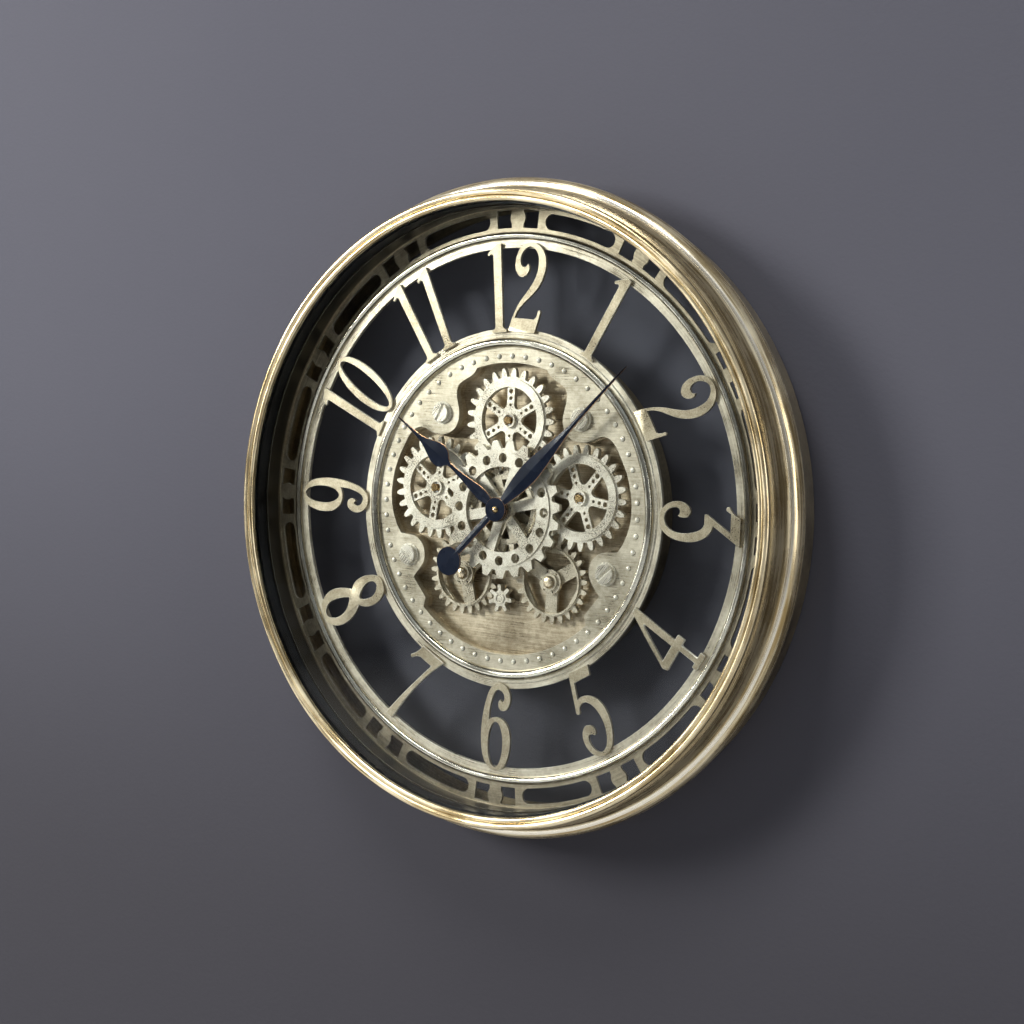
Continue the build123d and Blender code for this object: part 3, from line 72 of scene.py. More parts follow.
# sizes of the clock in mm, heights counted from the wall
RIM_BORE = 250.4
DIAL_FACE = 34.0
BEAD_EDGE = 34.7
BEAD_STEPS = 14
LATHE_STEPS = 360
RIVET_CIRCLE = 125.6
RIVET_COUNT = 60
RIVET_RADIUS = 2.3
RIVET_HEIGHT = 1.6
HAND_THICKNESS = 1.3
MINUTE_HAND_BASE = 49.0
HOUR_HAND_BASE = 46.2
MINUTE_HAND_ANGLE = 44.7
HOUR_HAND_ANGLE = 304.0
MINUTE_BORE = 1.3
HOUR_BORE = 2.5
HUB_RADIUS = 10.0
HAND_CHAMFER = 0.35
# width of the copper painted reflection along a hand's sides
PAINTED_REFLECTION_WIDTH = 0.3
CAP_BASE = 50.3
CAP_RADIUS = 3.0
CAP_HEIGHT = 1.9


# ------------------------------------------------------------------ materials

class Look:
    """One node material, with short ways to wire it."""

    def __init__(self, name):
        self.mat = bpy.data.materials.new(name)
        self.mat.use_nodes = True
        self.tree = self.mat.node_tree
        self.tree.nodes.clear()
        self.out = self.tree.nodes.new("ShaderNodeOutputMaterial")
        self.skin = self.tree.nodes.new("ShaderNodeBsdfPrincipled")
        self.link(self.skin.outputs[0], self.out.inputs[0])
        self.place = self.tree.nodes.new("ShaderNodeTexCoord").outputs["Object"]
        self.split = None

    def link(self, source, target):
        self.tree.links.new(source, target)

    def feed(self, target, value):
        if isinstance(value, bpy.types.NodeSocket):
            self.link(value, target)
        else:
            target.default_value = value

    def axis(self, name):
        if self.split is None:
            self.split = self.tree.nodes.new("ShaderNodeSeparateXYZ")
            self.link(self.place, self.split.inputs[0])
        return self.split.outputs["XYZ".index(name)]

    def sum(self, how, a, b=0.0, clamp=False):
        node = self.tree.nodes.new("ShaderNodeMath")
        node.operation = how
        node.use_clamp = clamp
        self.feed(node.inputs[0], a)
        self.feed(node.inputs[1], b)
        return node.outputs[0]

    def vector(self, x, y, z):
        node = self.tree.nodes.new("ShaderNodeCombineXYZ")
        for socket, value in zip(node.inputs, (x, y, z)):
            self.feed(socket, value)
        return node.outputs[0]

    def noise(self, scale, detail=3.0, where=None, w=None, rough=0.55):
        node = self.tree.nodes.new("ShaderNodeTexNoise")
        if w is not None:
            node.noise_dimensions = "4D"
            self.feed(node.inputs["W"], w)
        self.link(where or self.place, node.inputs["Vector"])
        node.inputs["Scale"].default_value = scale
        node.inputs["Detail"].default_value = detail
        node.inputs["Roughness"].default_value = rough
        return node.outputs[0]

    def span(self, value, low, high, to_low=0.0, to_high=1.0, smooth=False):
        node = self.tree.nodes.new("ShaderNodeMapRange")
        if smooth:
            node.interpolation_type = "SMOOTHSTEP"
        self.link(value, node.inputs[0])
        for index, number in enumerate((low, high, to_low, to_high), 1):
            node.inputs[index].default_value = number
        return node.outputs[0]

    def blend(self, factor, a, b):
        node = self.tree.nodes.new("ShaderNodeMix")
        node.data_type = "RGBA"
        self.feed(node.inputs[0], factor)
        self.feed(node.inputs[6], a)
        self.feed(node.inputs[7], b)
        return node.outputs[2]

    def bump(self, height, distance, strength=1.0):
        node = self.tree.nodes.new("ShaderNodeBump")
        node.inputs["Strength"].default_value = strength
        node.inputs["Distance"].default_value = distance
        self.link(height, node.inputs["Height"])
        return node.outputs[0]

    def streaks(self, grain, turn=0.0, fineness=BRUSH_ACROSS):
        """Noise drawn out along the brushing: round the clock's axis, or along a line."""
        x = self.axis("X")
        z = self.axis("Z")
        if grain == "ring":
            squares = self.sum("ADD", self.sum("MULTIPLY", x, x), self.sum("MULTIPLY", z, z))
            radius = self.sum("SQRT", squares)
            ux = self.sum("MULTIPLY", self.sum("DIVIDE", x, radius), BRUSH_ROUND)
            uz = self.sum("MULTIPLY", self.sum("DIVIDE", z, radius), BRUSH_ROUND)
            height = self.sum("MULTIPLY", self.axis("Y"), fineness)
            return self.noise(
                1.0, 3.0, self.vector(ux, height, uz), self.sum("MULTIPLY", radius, fineness)
            )
        c, s = math.cos(turn), math.sin(turn)
        along = self.sum("ADD", self.sum("MULTIPLY", x, c), self.sum("MULTIPLY", z, s))
        across = self.sum("SUBTRACT", self.sum("MULTIPLY", z, c), self.sum("MULTIPLY", x, s))
        return self.noise(
            1.0,
            3.0,
            self.vector(
                self.sum("MULTIPLY", along, BRUSH_ALONG),
                self.sum("MULTIPLY", self.axis("Y"), BRUSH_DEPTH),
                self.sum("MULTIPLY", across, BRUSH_ACROSS),
            ),
        )


def metal(
    name, light, dark, rough, grain, turn=0.0, depth=0.05, metallic=1.0, shade=None,
):
    """Satin metal: wide tarnish patches, fine specks, brushing and a varied polish, and painted shade in
    a darker tone past a depth when shade is given.
    """
    look = Look(name)
    patches = look.noise(PATCH_SCALE, 4.0)
    mottle = look.noise(MOTTLE_SCALE, 4.0, rough=0.7)
    fine = look.noise(SPECK_SCALE, 2.0) if grain == "cast" else look.streaks(grain, turn)
    broad = look.sum(
        "ADD", look.sum("MULTIPLY", patches, PATCH_SHARE), look.sum("MULTIPLY", mottle, MOTTLE_SHARE)
    )
    worn = look.sum("ADD", broad, look.sum("MULTIPLY", fine, FINE_SHARE))
    worn = look.span(worn, WORN_LOW, WORN_HIGH, smooth=True)
    colour = look.blend(worn, (*dark, 1.0), (*light, 1.0))
    # painted shade: past the given depth from the wall the colour turns to a dark tone
    if shade is not None:
        low, high, tone = shade
        depth_painted_shade = look.span(look.axis("Y"), low, high, smooth=True)
        colour = look.blend(depth_painted_shade, colour, (*tone, 1.0))
    look.link(colour, look.skin.inputs["Base Color"])
    polish = look.sum("ADD", look.sum("MULTIPLY", patches, 0.5), look.sum("MULTIPLY", fine, 0.5))
    look.link(
        look.span(polish, POLISH_LOW, POLISH_HIGH, rough - 0.1, rough + 0.1),
        look.skin.inputs["Roughness"],
    )
    look.link(look.bump(fine, depth * MM), look.skin.inputs["Normal"])
    look.skin.inputs["Metallic"].default_value = metallic
    return look.mat


def rim_gold_painted_light():
    """Worn gold, with painted shade in the cove and as dark lines in two creases, and a painted highlight
    along one edge.

    The levels are depths in metres, from the wall at 0 to the front at -0.0696.
    """
    cove_edge = -0.0440
    cove_dark = -0.0460
    cove_fade = -0.0475
    cove_shade_end = -0.0635
    seam_level = -0.0672
    foot_level = -0.0645
    crest_level = -0.0432
    look = Look("rim_gold")
    patches = look.noise(22.0, 4.0)
    fine = look.streaks("ring", fineness=520.0)
    worn = look.sum("ADD", look.sum("MULTIPLY", patches, 0.35), look.sum("MULTIPLY", fine, 0.65))
    gold = look.blend(
        look.span(worn, WORN_LOW, WORN_HIGH, smooth=True),
        (0.40, 0.29, 0.125, 1.0),
        (0.95, 0.84, 0.58, 1.0),
    )
    height = look.axis("Y")

    def line_at(level, half_width):
        away = look.sum("ABSOLUTE", look.sum("SUBTRACT", height, level))
        return look.span(away, half_width, 0.5 * half_width, 0.0, 1.0)

    # painted shade: the cove darkens from its front edge inwards, and dark lines are painted into two
    # creases at the front bead
    enter = look.span(height, cove_edge, cove_dark, smooth=True)
    leave = look.span(height, cove_fade, cove_shade_end, 1.0, 0.1, smooth=True)
    cove_painted_shade = look.sum("MULTIPLY", look.sum("MULTIPLY", enter, leave), 0.6)
    seam_painted_shade = look.sum("MULTIPLY", line_at(seam_level, 0.0008), 0.7)
    foot = look.sum("MULTIPLY", line_at(foot_level, 0.0007), 0.7)
    painted_shade = look.sum("ADD", cove_painted_shade, look.sum("ADD", seam_painted_shade, foot), clamp=True)
    gold_with_painted_shade = look.blend(painted_shade, gold, (0.13, 0.09, 0.035, 1.0))
    # painted highlight: a bright line along the edge where the cove meets the outer bead
    painted_highlight = look.sum("MULTIPLY", line_at(crest_level, 0.0006), 0.9)
    colour = look.blend(painted_highlight, gold_with_painted_shade, (1.0, 0.95, 0.80, 1.0))
    look.link(colour, look.skin.inputs["Base Color"])
    polish = look.sum("ADD", look.sum("MULTIPLY", patches, 0.4), look.sum("MULTIPLY", fine, 0.6))
    look.link(look.span(polish, POLISH_LOW, POLISH_HIGH, 0.18, 0.36), look.skin.inputs["Roughness"])
    look.link(look.bump(fine, 0.12 * MM), look.skin.inputs["Normal"])
    look.skin.inputs["Metallic"].default_value = 0.85
    return look.mat


def plastic(name, colour, rough, texture=0.03):
    """Moulded plastic or rubber with a fine grain; texture is its height in mm."""
    look = Look(name)
    grain = look.noise(1500.0, 2.0)
    haze = look.noise(40.0, 3.0)
    low = tuple(0.8 * c for c in colour)
    look.link(look.blend(haze, (*low, 1.0), (*colour, 1.0)), look.skin.inputs["Base Color"])
    look.link(
        look.span(haze, HAZE_LOW, HAZE_HIGH, rough - 0.06, rough + 0.08), look.skin.inputs["Roughness"]
    )
    look.link(look.bump(grain, texture * MM), look.skin.inputs["Normal"])
    return look.mat


def hand_lacquer():
    """Blue-black lacquer with a faint drift in tone and polish."""
    look = Look("hand_lacquer")
    drift = look.noise(60.0, 3.0)
    look.link(
        look.blend(drift, (0.004, 0.006, 0.014, 1.0), (0.010, 0.016, 0.036, 1.0)),
        look.skin.inputs["Base Color"],
    )
    look.link(look.span(drift, HAZE_LOW, HAZE_HIGH, 0.22, 0.32), look.skin.inputs["Roughness"])
    look.link(look.bump(look.noise(1200.0, 2.0), 0.006 * MM), look.skin.inputs["Normal"])
    look.skin.inputs["Specular IOR Level"].default_value = 0.14
    return look.mat


def pane():
    """Clear glass that lets the light through and mirrors a little, more at a slant."""
    look = Look("clear_glass")
    look.tree.nodes.remove(look.skin)
    clear = look.tree.nodes.new("ShaderNodeBsdfTransparent")
    clear.inputs["Color"].default_value = (0.975, 0.99, 0.985, 1.0)
    mirror = look.tree.nodes.new("ShaderNodeBsdfGlossy")
    mirror.inputs["Color"].default_value = (1.0, 1.0, 1.0, 1.0)
    mirror.inputs["Roughness"].default_value = 0.015
    slant = look.tree.nodes.new("ShaderNodeFresnel")
    slant.inputs["IOR"].default_value = 1.16
    mix = look.tree.nodes.new("ShaderNodeMixShader")
    look.link(slant.outputs[0], mix.inputs[0])
    look.link(clear.outputs[0], mix.inputs[1])
    look.link(mirror.outputs[0], mix.inputs[2])
    look.link(mix.outputs[0], look.out.inputs[0])
    return look.mat


CHAMPAGNE = (0.74, 0.68, 0.55)
CHAMPAGNE_LOW = (0.42, 0.36, 0.26)
EDGE = (0.93, 0.89, 0.79)
EDGE_HIGHLIGHT_LOW = (0.74, 0.68, 0.55)

dial_brushed = metal(
    "dial_brushed", (0.64, 0.585, 0.47), (0.36, 0.31, 0.22), 0.34, "line", metallic=0.75,
)
back_brushed = metal(
    "back_brushed", (0.62, 0.53, 0.39), (0.28, 0.22, 0.14), 0.36, "line", depth=0.06, metallic=0.8,
)
ring_brushed = metal("ring_brushed", CHAMPAGNE, CHAMPAGNE_LOW, 0.32, "ring", metallic=0.75)
# the hour ring's flange, standing up inside the rim, gets painted shade in a dark tone
hour_metal = metal(
    "hour_metal", (0.46, 0.40, 0.29), (0.22, 0.18, 0.12), 0.38, "ring", metallic=0.8,
    shade=(-0.0345, -0.0375, (0.06, 0.05, 0.034)),
)
bead_metal = metal("bead_metal", (0.90, 0.85, 0.74), (0.66, 0.60, 0.48), 0.20, "ring", depth=0.02)
numeral_metal = metal(
    "numeral_metal", (0.56, 0.49, 0.36), (0.28, 0.23, 0.15), 0.36, "cast", metallic=0.75,
)
# painted highlight: a near-white, barely metallic metal that keeps chamfers, rivet domes and washers
# bright
edge_painted_highlight = metal("edge_painted_highlight", EDGE, EDGE_HIGHLIGHT_LOW, 0.26, "cast", depth=0.02, metallic=0.35)
gear_metal = metal(
    "gear_metal", (0.84, 0.80, 0.69), (0.56, 0.50, 0.39), 0.33, "cast", depth=0.03, metallic=0.7,
)
# painted shade: a darker copy of gear_metal for the lower and rear gears
gear_painted_shade = metal(
    "gear_painted_shade", (0.70, 0.64, 0.51), (0.42, 0.36, 0.26), 0.34, "cast", depth=0.03, metallic=0.75,
)
rim_gold = rim_gold_painted_light()
shell_bronze = metal("shell_bronze", (0.38, 0.31, 0.19), (0.18, 0.14, 0.085), 0.38, "ring")
dark_ring = metal("dark_ring", (0.05, 0.054, 0.062), (0.025, 0.027, 0.032), 0.4, "ring")
screw_metal = metal(
    "screw_metal", (0.82, 0.78, 0.68), (0.50, 0.45, 0.36), 0.30, "line", turn=0.9, metallic=0.75,
)
stud_gold = metal("stud_gold", (0.90, 0.66, 0.34), (0.58, 0.36, 0.15), 0.22, "cast", depth=0.02)
stud_pale = metal("stud_pale", (0.92, 0.80, 0.60), (0.66, 0.52, 0.34), 0.30, "cast", depth=0.02)
bronze = metal("bronze", (0.38, 0.27, 0.17), (0.16, 0.11, 0.06), 0.34, "ring")
shadow_line = metal("shadow_line", (0.10, 0.08, 0.05), (0.05, 0.04, 0.025), 0.5, "cast", depth=0.02)
# painted reflection: copper on the hand bevels stands for the gold they mirror
hand_edge_painted_reflection = metal("hand_edge_painted_reflection", (0.62, 0.38, 0.22), (0.30, 0.17, 0.09), 0.32, "cast", depth=0.01)
zinc = metal("zinc", (0.58, 0.58, 0.58), (0.34, 0.34, 0.34), 0.36, "line", turn=0.2)
lacquer = hand_lacquer()
glass = pane()
case_black = plastic("case_black", (0.018, 0.018, 0.020), 0.52)
switch_grey = plastic("switch_grey", (0.35, 0.35, 0.36), 0.45)
cell_blue = plastic("cell_blue", (0.04, 0.07, 0.16), 0.30, 0.005)
pad_rubber = plastic("pad_rubber", (0.02, 0.02, 0.02), 0.75, 0.06)


# ------------------------------------------------------------------ mesh helpers

def smooth_group():
    """Smooth shading everywhere except across edges sharper than the crease angle."""
    tree = bpy.data.node_groups.new("crease_shading", "GeometryNodeTree")
    tree.interface.new_socket("Geometry", in_out="INPUT", socket_type="NodeSocketGeometry")
    tree.interface.new_socket("Geometry", in_out="OUTPUT", socket_type="NodeSocketGeometry")
    entry = tree.nodes.new("NodeGroupInput")
    leave = tree.nodes.new("NodeGroupOutput")
    angle = tree.nodes.new("GeometryNodeInputMeshEdgeAngle")
    test = tree.nodes.new("FunctionNodeCompare")
    test.operation = "LESS_EQUAL"
    test.inputs[1].default_value = CREASE
    faces = tree.nodes.new("GeometryNodeSetShadeSmooth")
    faces.domain = "FACE"
    edges = tree.nodes.new("GeometryNodeSetShadeSmooth")
    edges.domain = "EDGE"
    tree.links.new(angle.outputs["Unsigned Angle"], test.inputs[0])
    tree.links.new(entry.outputs[0], faces.inputs["Geometry"])
    tree.links.new(faces.outputs[0], edges.inputs["Geometry"])
    tree.links.new(test.outputs[0], edges.inputs["Shade Smooth"])
    tree.links.new(edges.outputs[0], leave.inputs[0])
    return tree


crease_shading = smooth_group()


def dress(name, material, edge=None, width=0.0):
    """A carried-over CAD node: its material, and edges broken by a width in mm."""
    obj = nodes[name]
    obj.data.materials.clear()
    obj.data.materials.append(material)
    if edge is not None:
        obj.data.materials.append(edge)
    bpy.context.view_layer.objects.active = obj
    if obj.data.has_custom_normals:
        with bpy.context.temp_override(object=obj, active_object=obj, selected_objects=[obj]):
            bpy.ops.mesh.customdata_custom_splitnormals_clear()
    weld = obj.modifiers.new("weld", "WELD")
    weld.merge_threshold = WELD_REACH
    if width > 0:
        flat = obj.modifiers.new("flats", "DECIMATE")
        flat.decimate_type = "DISSOLVE"
        flat.angle_limit = FLAT_LIMIT
        bevel = obj.modifiers.new("edges", "BEVEL")
        bevel.width = width * MM
        bevel.segments = 1
        bevel.limit_method = "ANGLE"
        bevel.angle_limit = BEVEL_LIMIT
        bevel.use_clamp_overlap = True
        if edge is not None:
            bevel.material = 1
    shade = obj.modifiers.new("shade", "NODES")
    shade.node_group = crease_shading


def make_piece(name, mesh_data, materials, body, replaced):
    """A piece of its own that rides on a body and stands in for CAD nodes."""
    obj = bpy.data.objects.new(name, mesh_data)
    scene.collection.objects.link(obj)
    for material in materials:
        mesh_data.materials.append(material)
    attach(obj, body)
    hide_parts(*replaced)


def arc(a, b, c, count):
    """Points on the circle through three points, from a to c by way of b."""
    ax, ay = a
    bx, by = b
    cx, cy = c
    d = 2 * (ax * (by - cy) + bx * (cy - ay) + cx * (ay - by))
    a2, b2, c2 = ax * ax + ay * ay, bx * bx + by * by, cx * cx + cy * cy
    ux = (a2 * (by - cy) + b2 * (cy - ay) + c2 * (ay - by)) / d
    uy = (a2 * (cx - bx) + b2 * (ax - cx) + c2 * (bx - ax)) / d
    radius = math.hypot(ax - ux, ay - uy)
    start = math.atan2(ay - uy, ax - ux)
    middle = (math.atan2(by - uy, bx - ux) - start) % math.tau
    end = (math.atan2(cy - uy, cx - ux) - start) % math.tau
    if middle > end:
        end -= math.tau
    turns = [start + end * i / count for i in range(count + 1)]
    return [(ux + radius * math.cos(t), uy + radius * math.sin(t)) for t in turns]


def lathe(name, profile):
    """Turns a closed profile of (radius, height) in mm about the clock's axis."""
    bm = bmesh.new()
    rings = []
    for step in range(LATHE_STEPS):
        t = math.tau * step / LATHE_STEPS
        c, s = math.cos(t), math.sin(t)
        rings.append([bm.verts.new((r * c * MM, -h * MM, r * s * MM)) for r, h in profile])
    count = len(profile)
    for step in range(LATHE_STEPS):
        here, there = rings[step], rings[(step + 1) % LATHE_STEPS]
        for i in range(count):
            j = (i + 1) % count
            bm.faces.new((here[i], here[j], there[j], there[i]))
    bmesh.ops.recalc_face_normals(bm, faces=bm.faces)
    mesh = bpy.data.meshes.new(name)
    bm.to_mesh(mesh)
    bm.free()
    mesh.shade_smooth()
    mesh.set_sharp_from_angle(angle=CREASE)
    return mesh


# ------------------------------------------------------------------ turned pieces

rim_profile = (
    [(RIM_BORE, DIAL_FACE), (RIM_BORE, 65.5), (248.7, 65.5), (248.7, 66.8)]
    + arc((248.7, 66.8), (250.9, 69.3), (253.3, 67.6), 10)[1:]
    + arc((253.3, 67.6), (256.2, 69.6), (258.8, 65.9), 10)[1:]
    + [(258.3, 64.8)]
    + arc((258.3, 64.8), (258.8, 52.5), (263.6, 43.4), 16)[1:]
    + [(265.4, 43.4)]
    + arc((265.4, 43.4), (270.6, 36.0), (268.6, 28.5), 16)[1:]
    + [(266.5, 28.5), (266.5, 37.5), (262.4, 40.0)]
    + arc((262.4, 40.0), (256.8, 51.0), (256.2, 62.0), 8)[1:]
    + [(252.4, 62.0), (252.4, DIAL_FACE)]
)
make_piece(
    "rim_moulding", lathe("rim_moulding", rim_profile), [rim_gold],
    "clock_body", ["rim_front_moulding"],
)
retaining_profile = [(RIM_BORE, 50.7), (RIM_BORE, 62.5), (247.5, 62.5), (247.5, 51.2), (248.0, 50.7)]
make_piece(
    "retaining_ring", lathe("retaining_ring", retaining_profile), [dark_ring],
    "clock_body", ["glass_retaining_ring"],
)


def bead_profile(inner, outer, crown):
    """A half-round bead on the dial face, between two radii and up to its crown."""
    crest = arc((inner, BEAD_EDGE), ((inner + outer) / 2, crown), (outer, BEAD_EDGE), BEAD_STEPS)
    return [(inner, DIAL_FACE)] + crest + [(outer, DIAL_FACE)]


make_piece(
    "outer_bead", lathe("outer_bead", bead_profile(220.4, 226.7, 37.4)), [bead_metal],
    "clock_body", ["outer_bead_ring"],
)
make_piece(
    "inner_bead", lathe("inner_bead", bead_profile(133.0, 140.7, 38.2)), [bead_metal],
    "clock_body", ["inner_bead_ring"],
)

dress("rim_back_shell", shell_bronze)
dress("glass_lens", glass)
dress("hour_ring", hour_metal, edge_painted_highlight, 0.35)
dress("outer_chapter_ring", ring_brushed, edge_painted_highlight, 0.3)
dress("inner_chapter_ring", ring_brushed, edge_painted_highlight, 0.3)
for hour in range(1, 13):
    dress("numeral_%d" % hour, numeral_metal, edge_painted_highlight, 0.65)
dress("dial_front_plate", dial_brushed, edge_painted_highlight, 0.5)
dress("dial_spacer_plate", back_brushed)
dress("dial_back_plate", back_brushed)
dress("lug_screws", screw_metal, edge_painted_highlight, 0.6)
dress("lug_washers", edge_painted_highlight)
dress("drum_side_wall", shell_bronze)
dress("drum_rear_cover", shell_bronze, shell_bronze, 0.3)
dress("rear_pillars", stud_gold)
dress("rear_cover_screws", zinc, zinc, 0.2)
dress("upper_studs", stud_gold, stud_gold, 0.3)
dress("stud_clips", zinc)
dress("lower_shoulder_screws", stud_pale, stud_pale, 0.4)
for name in ("top_gear", "left_gear", "right_gear"):
    dress(name, gear_metal, edge_painted_highlight, 0.3)
for name in ("lower_left_gear", "lower_right_gear"):
    dress(name, gear_painted_shade, edge_painted_highlight, 0.3)
dress("motor_pinion", gear_metal, edge_painted_highlight, 0.3)
dress("front_centre_gear", gear_metal, edge_painted_highlight, 0.35)
dress("rear_centre_gear", gear_painted_shade, edge_painted_highlight, 0.3)
dress("lower_drive_gear", gear_painted_shade, edge_painted_highlight, 0.3)
dress("centre_sleeve", bronze, bronze, 0.2)
dress("movement_bushing", stud_gold)
dress("bushing_nut", bronze, bronze, 0.15)
dress("hour_tube", stud_gold)
dress("minute_shaft", stud_gold)
dress("set_knob", case_black, case_black, 0.2)
dress("movement_case", case_black, case_black, 0.5)
dress("motor_case", case_black, case_black, 0.5)
dress("motor_switch", switch_grey, switch_grey, 0.2)
dress("battery_cells", cell_blue)
dress("hanger_bracket", zinc, zinc, 0.15)
dress("wall_bumpers", pad_rubber, pad_rubber, 0.4)


# ------------------------------------------------------------------ domed rivets

def domes(name, points, base, radius, height, sides=20):
    """Low domes at (x, z) points, in mm, their foot band in the second material."""
    rings = 8
    bm = bmesh.new()
    sphere = (radius * radius + height * height) / (2 * height)
    reach = math.asin(min(1.0, radius / sphere))
    for x, z in points:
        loops = []
        for i in range(rings):
            t = reach * (1 - i / rings)
            r, h = sphere * math.sin(t), base + sphere * math.cos(t) - sphere + height
            loops.append([
                bm.verts.new((
                    (x + r * math.cos(math.tau * k / sides)) * MM,
                    -h * MM,
                    (z + r * math.sin(math.tau * k / sides)) * MM,
                ))
                for k in range(sides)
            ])
        crown = bm.verts.new((x * MM, -(base + height) * MM, z * MM))
        for band, (low, high) in enumerate(zip(loops, loops[1:])):
            for k in range(sides):
                face = bm.faces.new((low[k], low[(k + 1) % sides], high[(k + 1) % sides], high[k]))
                face.material_index = 1 if band == 0 else 0
        for k in range(sides):
            bm.faces.new((loops[-1][k], loops[-1][(k + 1) % sides], crown))
        bm.faces.new(loops[0])
    bmesh.ops.recalc_face_normals(bm, faces=bm.faces)
    mesh = bpy.data.meshes.new(name)
    bm.to_mesh(mesh)
    bm.free()
    mesh.shade_smooth()
    mesh.set_sharp_from_angle(angle=RIVET_CREASE)
    return mesh


rivet_turns = [math.radians(90.0 + 360 * i / RIVET_COUNT) for i in range(RIVET_COUNT)]
rivet_points = [(RIVET_CIRCLE * math.cos(t), RIVET_CIRCLE * math.sin(t)) for t in rivet_turns]
make_piece(
    "rivet_domes", domes("rivet_domes", rivet_points, DIAL_FACE, RIVET_RADIUS, RIVET_HEIGHT),
    [edge_painted_highlight, shadow_line], "clock_body", ["dial_rivets"],
)


# ------------------------------------------------------------------ hands

def eased(points, step):
    """Catmull-Rom curve through (distance, half width) points."""
    line = [points[0]] + list(points) + [points[-1]]
    result = []
    for p0, p1, p2, p3 in zip(line, line[1:], line[2:], line[3:]):
        count = max(1, int((p2[0] - p1[0]) / step))
        for i in range(count):
            t = i / count
            result.append(tuple(
                0.5 * (
                    2 * p1[k] + (p2[k] - p0[k]) * t
                    + (2 * p0[k] - 5 * p1[k] + 4 * p2[k] - p3[k]) * t * t
                    + (3 * p1[k] - p0[k] - 3 * p2[k] + p3[k]) * t ** 3
                )
                for k in (0, 1)
            ))
    result.append(points[-1])
    return result


def ridged_hand(name, blades, discs, clock_angle, height, bore):
    """Blades with a centre ridge and thin copper-coloured sides, a painted reflection of gold; flat discs
    with the same painted reflection on their chamfer.
    """
    bm = bmesh.new()
    turn = math.radians(90 - clock_angle)
    along = Vector((math.cos(turn), 0, math.sin(turn)))
    aside = Vector((math.sin(turn), 0, -math.cos(turn)))

    def spot(s, w, h):
        p = along * (s * MM) + aside * (w * MM)
        return bm.verts.new((p.x, -h * MM, p.z))

    side = height + 0.45 * HAND_THICKNESS
    for stations, sign in blades:
        rows = []
        for s, w in stations:
            inner = max(0.8 * w, w - PAINTED_REFLECTION_WIDTH)
            rows.append([
                spot(sign * s, -w, height), spot(sign * s, -w, side),
                spot(sign * s, -inner, side + 0.2), spot(sign * s, 0, height + HAND_THICKNESS),
                spot(sign * s, inner, side + 0.2), spot(sign * s, w, side),
                spot(sign * s, w, height),
            ])
        for a, b in zip(rows, rows[1:]):
            for i in range(6):
                face = bm.faces.new((a[i], a[i + 1], b[i + 1], b[i]))
                face.material_index = 0 if i in (2, 3) else 1
            bm.faces.new((a[0], b[0], b[6], a[6]))
        bm.faces.new(rows[0])
        bm.faces.new(list(reversed(rows[-1])))
    sides = 72
    for s, radius, low, high in discs:
        loops = []
        steps = [(radius, low), (radius, high - HAND_CHAMFER), (radius - HAND_CHAMFER, high)]
        hole = bore if s == 0 else 0.0
        if hole:
            steps = [(hole, low)] + steps + [(hole, high)]
        for r, h in steps:
            loops.append([
                spot(s + r * math.cos(math.tau * k / sides), r * math.sin(math.tau * k / sides), h)
                for k in range(sides)
            ])
        pairs = list(zip(loops, loops[1:]))
        if hole:
            pairs.append((loops[-1], loops[0]))
        for index, (a, b) in enumerate(pairs):
            for k in range(sides):
                face = bm.faces.new((a[k], a[(k + 1) % sides], b[(k + 1) % sides], b[k]))
                face.material_index = 1 if index == (2 if hole else 1) else 0
        if not hole:
            bm.faces.new(loops[0])
            bm.faces.new(loops[-1])
    bmesh.ops.recalc_face_normals(bm, faces=bm.faces)
    mesh = bpy.data.meshes.new(name)
    bm.to_mesh(mesh)
    bm.free()
    mesh.shade_smooth()
    mesh.set_sharp_from_angle(angle=HAND_CREASE)
    return mesh


minute_blade = eased(
    [(8.5, 3.4), (24, 6.6), (36, 8.2), (48, 8.6), (60, 7.4), (74, 5.4), (86, 3.6), (97, 2.3),
     (125, 1.6), (150, 1.03), (169, 0.6)],
    2.0,
)
minute_tail = eased([(8.5, 3.2), (30, 3.2), (56, 3.2)], 6.0)
make_piece(
    "minute_blade",
    ridged_hand(
        "minute_blade", [(minute_blade, 1), (minute_tail, -1)],
        [(0, HUB_RADIUS, MINUTE_HAND_BASE, CAP_BASE), (-64.5, 12.2, MINUTE_HAND_BASE, 50.2)],
        MINUTE_HAND_ANGLE, MINUTE_HAND_BASE, MINUTE_BORE,
    ),
    [lacquer, hand_edge_painted_reflection], "minute_works", ["minute_hand"],
)
hour_blade = eased(
    [(8.5, 3.4), (20, 5.2), (30, 4.5), (45, 2.6), (58, 1.8), (63, 2.6), (67.4, 7.2), (71, 9.3), (75, 9.7),
     (80, 8.8), (86, 6.4), (95, 3.1), (107, 1.5), (127, 0.6)],
    1.2,
)
make_piece(
    "hour_blade",
    ridged_hand(
        "hour_blade", [(hour_blade, 1)], [(0, HUB_RADIUS, HOUR_HAND_BASE, 47.5)],
        HOUR_HAND_ANGLE, HOUR_HAND_BASE, HOUR_BORE,
    ),
    [lacquer, hand_edge_painted_reflection], "hour_works", ["hour_hand"],
)
make_piece(
    "cap_dome", domes("cap_dome", [(0, 0)], CAP_BASE, CAP_RADIUS, CAP_HEIGHT, sides=32),
    [stud_gold, stud_gold], "minute_works", ["hand_cap"],
)


# ------------------------------------------------------------------ stage

